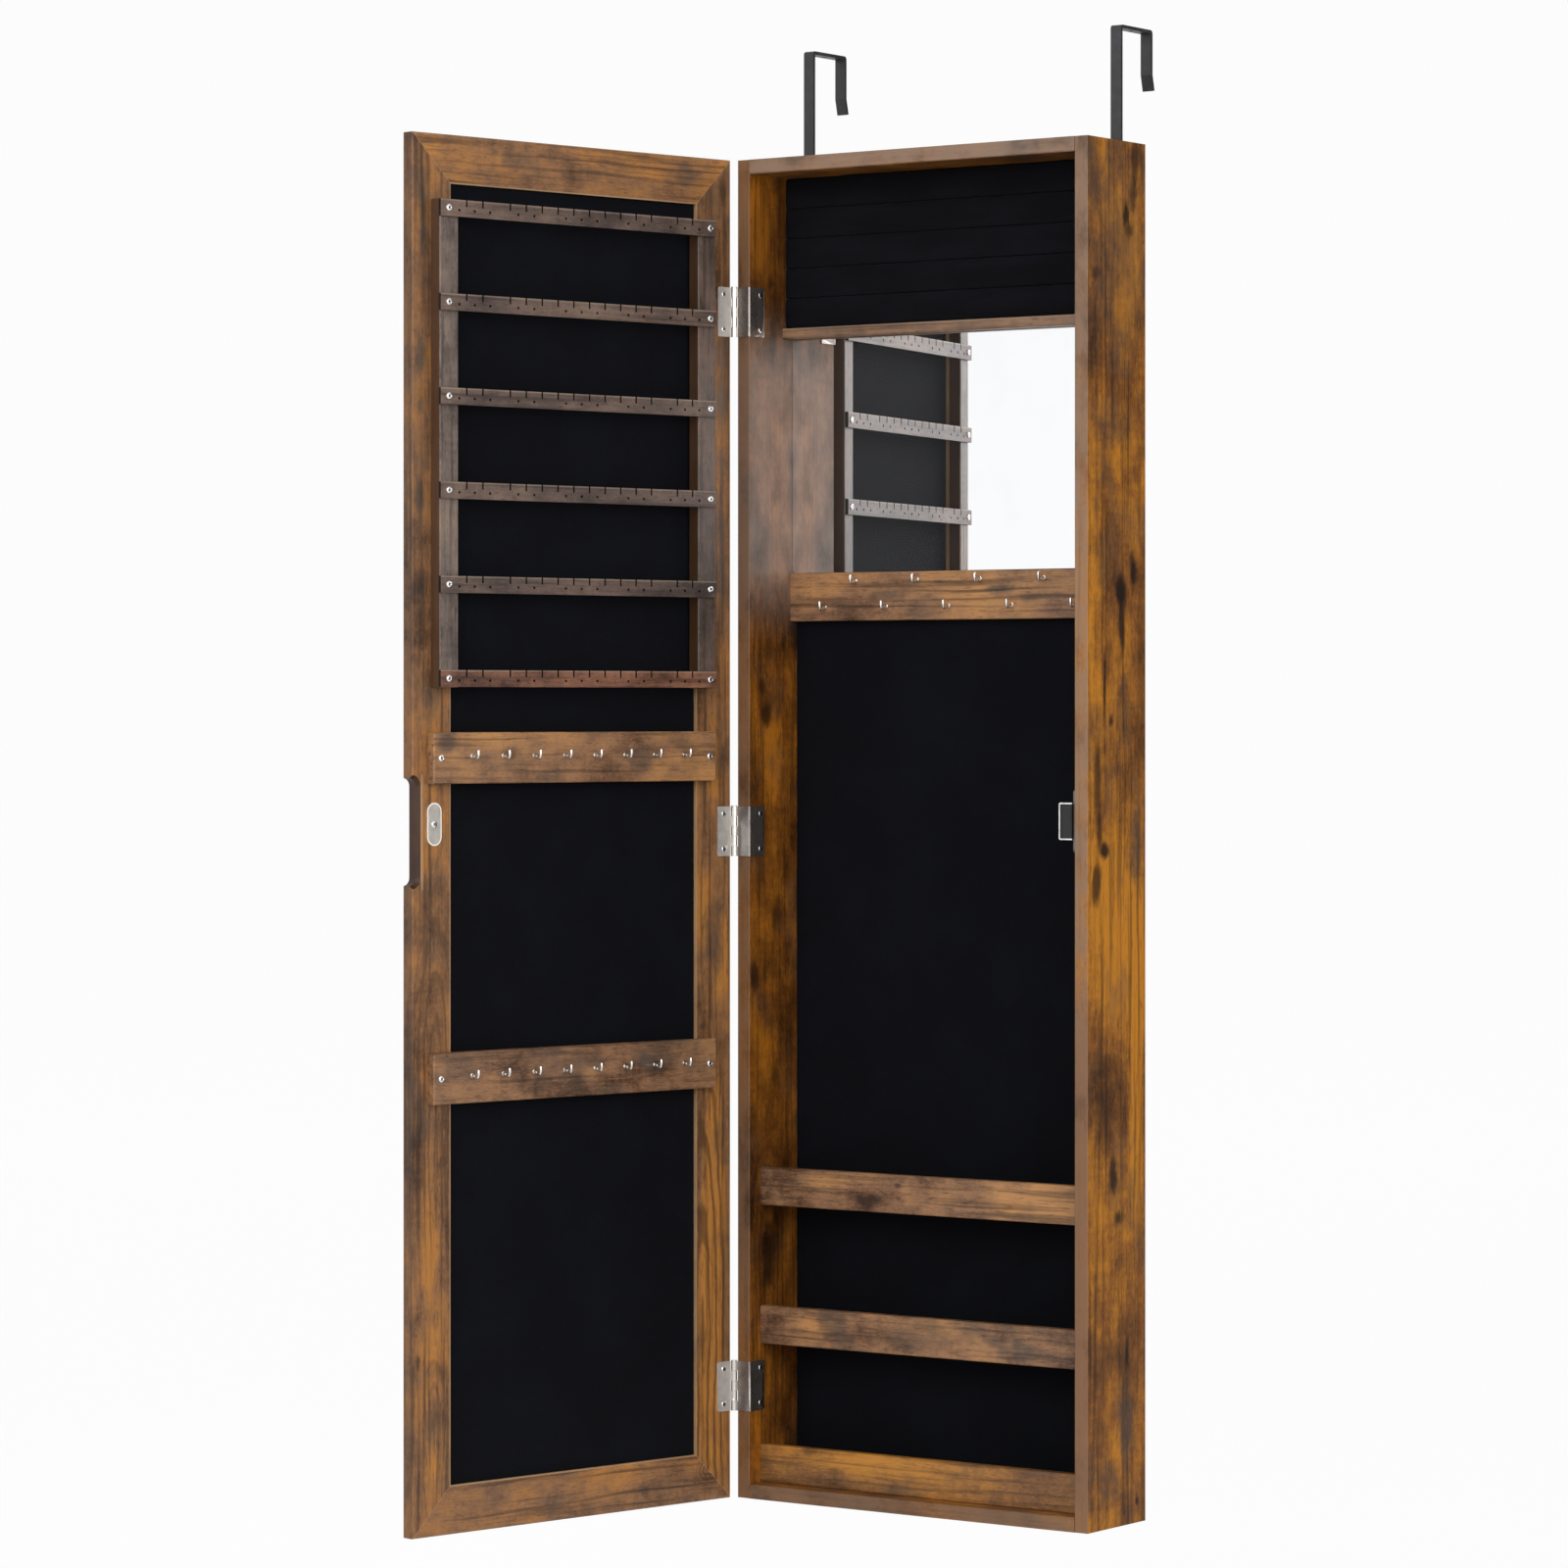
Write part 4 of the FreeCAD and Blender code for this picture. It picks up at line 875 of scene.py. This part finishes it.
def screw(radius, profile, sunk):
    """A screw at the origin, its head towards +Z. The profile gives the head's heights and its
    radius shares from the seat to the middle, and sunk is how deep its cone goes."""
    start_piece()
    bpy.ops.mesh.primitive_circle_add(vertices=24, radius=shank_radius, fill_type="NGON",
                                      location=(0, 0, -shank_length))
    made = bpy.context.object
    bpy.ops.object.transform_apply(location=True, rotation=True, scale=True)
    edit_all()
    height, reached = -shank_length, shank_radius
    rings = [(-sunk - 0.00001, shank_radius), (0.0, radius)]
    rings += [(level, radius * share) for level, share in profile]
    for to_height, to_radius in rings:
        extrude((0, 0, to_height - height))
        ratio = to_radius / reached
        bpy.ops.transform.resize(value=(ratio, ratio, 1), center_override=(0, 0, to_height))
        height, reached = to_height, to_radius
    bpy.ops.mesh.select_all(action="SELECT")
    bpy.ops.mesh.normals_make_consistent(inside=False)
    bpy.ops.object.mode_set(mode="OBJECT")
    for material in (zinc, recess_painted_shade):
        made.data.materials.append(material)
    for turn in (0, 90):
        start_piece()
        bpy.ops.mesh.primitive_cube_add(
            size=1, location=(0, 0, height - cross_depth / 2 + overshoot),
            rotation=(0, 0, radians(turn)),
            scale=(2 * cross_reach, cross_width, cross_depth + 2 * overshoot))
        cutter = bpy.context.object
        for material in (zinc, recess_painted_shade):
            cutter.data.materials.append(material)
        # The cutter's faces carry the painted shade into the recess.
        for face in cutter.data.polygons:
            face.material_index = 1
        cut_away(made, cutter)
    bpy.ops.object.shade_smooth_by_angle(angle=radians(35))
    return made


def facing(direction, roll):
    """Turn +Z to a level direction, after a roll about the screw's own axis."""
    return direction.to_track_quat("Z", "Y").to_matrix().to_4x4() @ Matrix.Rotation(roll, 4, "Z")


def drive_screws(master, places, name, body, node):
    """Screws of one kind at their places, instead of a node of the frame."""
    finish_piece(copies(master, places, name), zinc, body, "bright_screws", node)


def screw_places(spots, direction, turned=Matrix()):
    """A place for a screw at each spot, each rolled to an angle of its own."""
    return [turned @ Matrix.Translation(spot) @ facing(direction, first_roll + index * roll_step)
            for index, spot in enumerate(spots)]


pan_screw = screw(head_radius, [(0.0006, 1.0), (0.0011, 0.9), (0.0014, 0.72), (0.0014, 0.6),
                                (0.0011, 0.5), (0.001, 0.2)], 0.0)
flush_screw = screw(flush_radius, [(0.0001, 0.98), (0.00035, 0.8), (0.00045, 0.5),
                                   (0.00045, 0.15)], 0.0012)

bar_shift, bar_screw_reach = 0.0009, 0.1508
board_screw_reach = 0.155
bar_screws_at = [rack_middle + bar_shift + side * bar_screw_reach for side in (-1, 1)]
board_screws_at = [rack_middle + board_shift + side * board_screw_reach for side in (-1, 1)]
spots = []
for index in range(1, bar_count + 1):
    low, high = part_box("earring_bar_%d" % index)
    spots += [Vector((x, bar_front, (low.z + high.z) / 2)) for x in bar_screws_at]
for name in ("upper", "lower"):
    low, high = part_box(name + "_hook_board")
    spots += [Vector((x, door_face + board_thick, (low.z + high.z) / 2)) for x in board_screws_at]
off_door, off_left_wall = Vector((0, 1, 0)), Vector((1, 0, 0))
places = screw_places(spots, off_door, open_door)
drive_screws(pan_screw, places, "rack_screws", "door", "fitting_screws")

leaf_thick = 0.0012
screw_spread = 0.0314
panel_thick = 0.013
inner_wall = half_width - panel_thick
leaf_screw_depth = 0.0158
leaf_screw_edge = 0.0092
case_spots, door_spots = [], []
for name in ("upper", "middle", "lower"):
    low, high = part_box(name + "_cabinet_leaf")
    for z in ((low.z + high.z - screw_spread) / 2, (low.z + high.z + screw_spread) / 2):
        case_spots.append(Vector((-inner_wall + leaf_thick, case_front + leaf_screw_depth, z)))
        door_spots.append(Vector((-half_width + leaf_screw_edge, door_face + leaf_thick, z)))
places = screw_places(case_spots, off_left_wall)
drive_screws(flush_screw, places, "case_hinge_screws", "cabinet", "cabinet_leaf_screws")
places = screw_places(door_spots, off_door, open_door)
drive_screws(flush_screw, places, "door_hinge_screws", "door", "door_leaf_screws")
dress("hanger_screws", zinc)


# ---- Hinges ----
# Three steel hinges of five knuckles. One leaf lies on the door's inside face, and the other
# covers the side panel's front edge and wraps onto its inner wall. The barrels are polished. The
# flats are painted darker on the case's leaves, as shade, and paler on the door's, as reflection.
barrel_reach = 0.0031
knuckle = 0.0089
slot_width = 0.0008
slot_ease = 0.0003
slot_overlap = 0.0001
slot_depth, slot_behind = 0.005, 0.0015
flat_start = hinge_axis.x + barrel_reach


def hinge_metal(name, flat_tint, flat_shade, flat_sheen):
    """Polished on the barrel. On the flat of the leaf it takes the given tint: painted shade on the
    case's leaves, painted reflection on the door's.
    """
    finish = Finish(name)
    place = finish.place()
    arm = finish.scaled(place, (1, 1, 0), (-hinge_axis.x, -hinge_axis.y, 0))
    flat = finish.length(arm).rise(barrel_reach, barrel_reach + 0.0004)
    haze = finish.noise(place, 110, 3, 0.6)
    brush = finish.noise(finish.scaled(place, (1, 1, 0.06)), 2400, 3, 0.6)
    wear = haze.rise(0.35, 0.7) * 0.7 + brush.rise(0.5, 0.8) * 0.3
    plain = finish.mix(flat_tint, flat_shade, wear)
    color = finish.mix(paint("d6d2cc"), plain, flat)
    roughness = flat * flat_sheen + brush * 0.08 + haze * 0.05 + 0.1
    return finish.done(color, roughness, brush, 0.00002, Metallic=1 - flat * flat_sheen * 1.5)


def hinge_leaf(node, name, body, metal, gaps, matrix):
    """A copy of a node of the hinge, its doubles merged and its round parts shaded smooth. At
    each height in gaps a clearance slot is cut for a knuckle of the other leaf."""
    start_piece()
    copy = frame["nodes"][node].copy()
    copy.data = copy.data.copy()
    copy.data.materials.clear()
    copy.name = name
    copy.parent = None
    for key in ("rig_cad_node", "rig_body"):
        if key in copy:
            del copy[key]
    add_to_scene(copy)
    copy.select_set(True)
    bpy.context.view_layer.objects.active = copy
    edit_all()
    bpy.ops.mesh.remove_doubles(threshold=0.000005)
    bpy.ops.mesh.dissolve_limited(angle_limit=radians(2))
    bpy.ops.object.mode_set(mode="OBJECT")
    for gap in gaps:
        start_piece()
        bpy.ops.mesh.primitive_cube_add(
            size=1,
            location=(flat_start + slot_width / 2 - slot_overlap, case_front - slot_behind, gap),
            scale=(slot_width + 2 * slot_overlap, slot_depth, knuckle + 2 * slot_ease))
        cutter = bpy.context.object
        bpy.ops.object.transform_apply(location=True, rotation=True, scale=True)
        cutter.data.transform(matrix)
        cut_away(copy, cutter)
    bpy.ops.object.shade_smooth_by_angle(angle=radians(32))
    return finish_piece(copy, metal, body, "hinge_steel", node)


# The case's leaves get a darker flat as painted shade, the door's a paler one as painted reflection.
case_steel = hinge_metal("case_leaf_steel", paint("978f89"), paint("7c746e"), 0.1)
door_steel = hinge_metal("door_leaf_steel", paint("cdc8c2"), paint("b6b0a9"), 0.3)
for name in ("upper", "middle", "lower"):
    low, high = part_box(name + "_cabinet_leaf")
    middle = (low.z + high.z) / 2
    case_gaps = [middle + step * knuckle for step in (-1, 1)]
    door_gaps = [middle + step * knuckle for step in (-2, 0, 2)]
    hinge_leaf(name + "_cabinet_leaf", name + "_case_leaf_steel", "cabinet", case_steel,
               case_gaps, Matrix())
    hinge_leaf(name + "_door_leaf", name + "_door_leaf_steel", "door", door_steel,
               door_gaps, open_door)
hinge_leaf("hinge_pins", "hinge_pins_steel", "cabinet", door_steel, [], Matrix())


# ---- Magnetic catch and strike plate ----
# A zinc-plated steel bracket on the right wall holds a ferrite magnet between two pole plates,
# and a satin steel plate on the door's free stile meets them when the door closes.
def ferrite():
    finish = Finish("ferrite")
    grit = finish.noise(finish.place(), 1500, 3, 0.6)
    color = finish.mix(paint("121213"), paint("1e1d20"), grit.rise(0.4, 0.7))
    return finish.done(color, grit * 0.2 + 0.55, grit, 0.00006)


flange_thick = 0.0015
flange_start = inner_wall - flange_thick - 0.0004


def catch_metal():
    """Bright on the bracket's loop, with painted shade on the flange against the wall."""
    finish = Finish("catch_zinc")
    place = finish.place()
    flange = finish.part(place, "X").rise(flange_start, flange_start + 0.0003)
    haze = finish.noise(place, 160, 3, 0.6)
    loop = finish.mix(paint("ecebe8"), paint("c9c7c3"), haze.rise(0.4, 0.7))
    # Painted shade on the flange against the wall.
    color = finish.mix(loop, paint("3b3836"), flange * 0.85)
    return finish.done(color, haze * 0.12 + flange * 0.1 + 0.14, haze, 0.00003, Metallic=1.0)


def strike_metal():
    """Satin on the plate's flat and polished round its rim."""
    finish = Finish("satin_steel")
    place = closed_door(finish)
    reach = strike_width / 2
    along = abs(finish.part(place, "Z") - strike_middle) - (strike_height / 2 - reach)
    across = {"X": finish.part(place, "X") - strike_x, "Y": along.at_least(0.0)}
    from_spine = finish.length(finish.node("ShaderNodeCombineXYZ", inputs=across))
    rim = from_spine.rise(reach - 0.0017, reach - 0.0007)
    haze = finish.noise(place, 120, 3, 0.6)
    brush = finish.noise(finish.scaled(place, (1, 1, 0.1)), 2200, 3, 0.6)
    wear = haze.rise(0.35, 0.7) * 0.6 + brush.rise(0.5, 0.8) * 0.3
    flat = finish.mix(paint("c3beb6"), paint("a29b91"), wear)
    color = finish.mix(flat, paint("fbf6ee"), rim)
    return finish.done(color, brush * 0.12 + (1 - rim) * 0.2 + 0.14, brush, 0.00002, Metallic=0.8)


strike_low, strike_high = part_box("strike_plate")
strike_middle = (strike_low.z + strike_high.z) / 2
strike_height = strike_high.z - strike_low.z
strike_width = 0.0158
strike_thick = 0.001
strike_inset = 0.0235
strike_x = half_width - strike_inset
dress("catch_bracket", catch_metal())
dress("catch_magnet", ferrite())
dress("catch_pole_plates", plated_metal("pole_steel", paint("3c3a38"), paint("262422"), 0.25,
                                        (1, 1, 0.06)))
dress("strike_plate", strike_metal())

catch_screw_share = 0.6
catch_screw_depth = 0.0073
catch_screw_reach = 0.021
catch_low, catch_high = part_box("catch_bracket")
catch_middle = (catch_low.z + catch_high.z) / 2
catch_spots = [Vector((inner_wall - flange_thick, case_front + catch_screw_depth,
                       catch_middle + side * catch_screw_reach)) for side in (-1, 1)]
small = Matrix.Scale(catch_screw_share, 4)
places = [place @ small for place in screw_places(catch_spots, -off_left_wall)]
drive_screws(pan_screw, places, "catch_plate_screws", "cabinet", "catch_screws")
plate_screw = screw(head_radius, [(0.0001, 0.98), (0.00025, 0.85), (0.0004, 0.6),
                                  (0.00045, 0.3)], 0.0008)
strike_spot = Vector((strike_x, door_face + strike_thick, strike_middle))
places = screw_places([strike_spot], off_door, open_door)
drive_screws(plate_screw, places, "strike_plate_screw", "door", "strike_screw")
for master in (pan_screw, flush_screw, plate_screw):
    discard(master)


# ---- Studio ----
# A pale floor two metres below the room door's top edge, white walls, three soft boxes, and the
# camera where the photograph was taken. Gloss sees a dark corner behind the cabinet's right side.
image_size = 1600
focal_pixels = 5514.0
optical_centre = (698.4, 723.6)
camera_turn = radians(35.958)
camera_place = (2.6257, -4.0503, -0.594)
sensor = 36.0
backdrop_white = 0.975
wall_light = 0.6
dark_corner = (0.5, 0.866, 0.0)
corner_edge, corner_core = 0.866, 0.951
corner_gloss = 0.06
floor_height = -2.0
floor_size = 400
floor_pale = 0.75
floor_seen = 0.2
near_glow, far_glow = 0.868, 0.885


def rays(finish, *kinds):
    """1 for rays of these kinds."""
    total = 0.0
    for kind in kinds:
        total = finish.node("ShaderNodeLightPath", output=kind) + total
    return total.rise(0, 1)


def backdrop(finish, direction):
    """White as the camera, mirrors and glass see it, but dark for gloss in the corner."""
    inputs = {0: direction, 1: dark_corner}
    toward = finish.node("ShaderNodeVectorMath", {"operation": "DOT_PRODUCT"}, inputs, "Value")
    gloss = rays(finish, "Is Glossy Ray")
    return 1 - toward.rise(corner_edge, corner_core) * gloss * (1 - corner_gloss)


def studio_floor():
    """A matte floor that takes shadows. It also glows for the camera, mirrors and glass, so that
    it looks as white as the walls."""
    start_piece()
    bpy.ops.mesh.primitive_plane_add(size=floor_size, location=(0, 0, floor_height))
    floor = bpy.context.object
    floor.name = "studio_floor"
    bpy.ops.object.transform_apply(location=True, rotation=True, scale=True)
    finish = Finish("pale_floor")
    seen = rays(finish, "Is Camera Ray", "Is Glossy Ray", "Is Transmission Ray")
    place = finish.place()
    direction = finish.node("ShaderNodeVectorMath", {"operation": "NORMALIZE"}, {0: place})
    away = finish.length(place).rise(2, 14)
    shade = (1 - seen * (1 - floor_seen)) * floor_pale
    color = finish.node("ShaderNodeCombineColor", {}, {"Red": shade, "Green": shade, "Blue": shade})
    matte = finish.node("ShaderNodeBsdfDiffuse", inputs={"Color": color, "Roughness": 1.0})
    strength = seen * backdrop(finish, direction) * (away * (far_glow - near_glow) + near_glow)
    glow = finish.node("ShaderNodeEmission", inputs={"Strength": strength})
    both = finish.node("ShaderNodeAddShader", inputs={0: matte, 1: glow})
    finish.node("ShaderNodeOutputMaterial", inputs={"Surface": both})
    floor.data.materials.append(finish.material)


def white_walls():
    """A plain white room all round, which lights the object less than it shows."""
    world = bpy.data.worlds.new("white_walls")
    world.use_nodes = True
    bpy.context.scene.world = world
    finish = Finish("white_walls")
    bpy.data.materials.remove(finish.material)
    finish.tree = world.node_tree
    finish.tree.nodes.clear()
    seen = rays(finish, "Is Camera Ray", "Is Glossy Ray", "Is Transmission Ray")
    white = backdrop(finish, finish.node("ShaderNodeTexCoord", output="Generated"))
    strength = seen * (white * backdrop_white - wall_light) + wall_light
    glow = finish.node("ShaderNodeBackground", inputs={"Color": (1, 1, 1, 1), "Strength": strength})
    finish.node("ShaderNodeOutputWorld", inputs={"Surface": glow})


def soft_box(name, azimuth, distance, height, width, tall, radiance):
    """Area lamp that faces the cabinet's middle from an azimuth in degrees round it, counted
    from the front to the viewer's right, at a distance and a height above that middle."""
    target = Vector((0, 0, (cad_low.z + cad_high.z) / 2))
    angle = radians(azimuth)
    place = target + Vector((sin(angle) * distance, -cos(angle) * distance, height))
    lamp = bpy.data.lights.new(name, "AREA")
    lamp.shape = "RECTANGLE"
    lamp.size = width
    lamp.size_y = tall
    lamp.energy = radiance * pi * width * tall
    made = bpy.data.objects.new(name, lamp)
    add_to_scene(made)
    made.location = place
    made.rotation_euler = (target - place).to_track_quat("-Z", "Y").to_euler()


def photograph_camera():
    data = bpy.data.cameras.new("camera")
    data.sensor_width = sensor
    data.lens = focal_pixels / image_size * sensor
    data.shift_x = (image_size / 2 - optical_centre[0]) / image_size
    data.shift_y = (optical_centre[1] - image_size / 2) / image_size
    data.clip_end = 200
    camera = bpy.data.objects.new("camera", data)
    add_to_scene(camera)
    camera.location = camera_place
    camera.rotation_euler = (radians(90), 0, camera_turn)
    bpy.context.scene.camera = camera


studio_floor()
white_walls()
soft_box("front_box", 12, 4.5, 1.6, 3.0, 2.6, 3.5)
soft_box("left_box", -16, 4.4, 1.2, 1.6, 2.8, 1.3)
soft_box("side_box", 65, 4.2, 0.9, 2.4, 3.0, 2.6)
photograph_camera()
bpy.context.scene.view_settings.view_transform = "Standard"
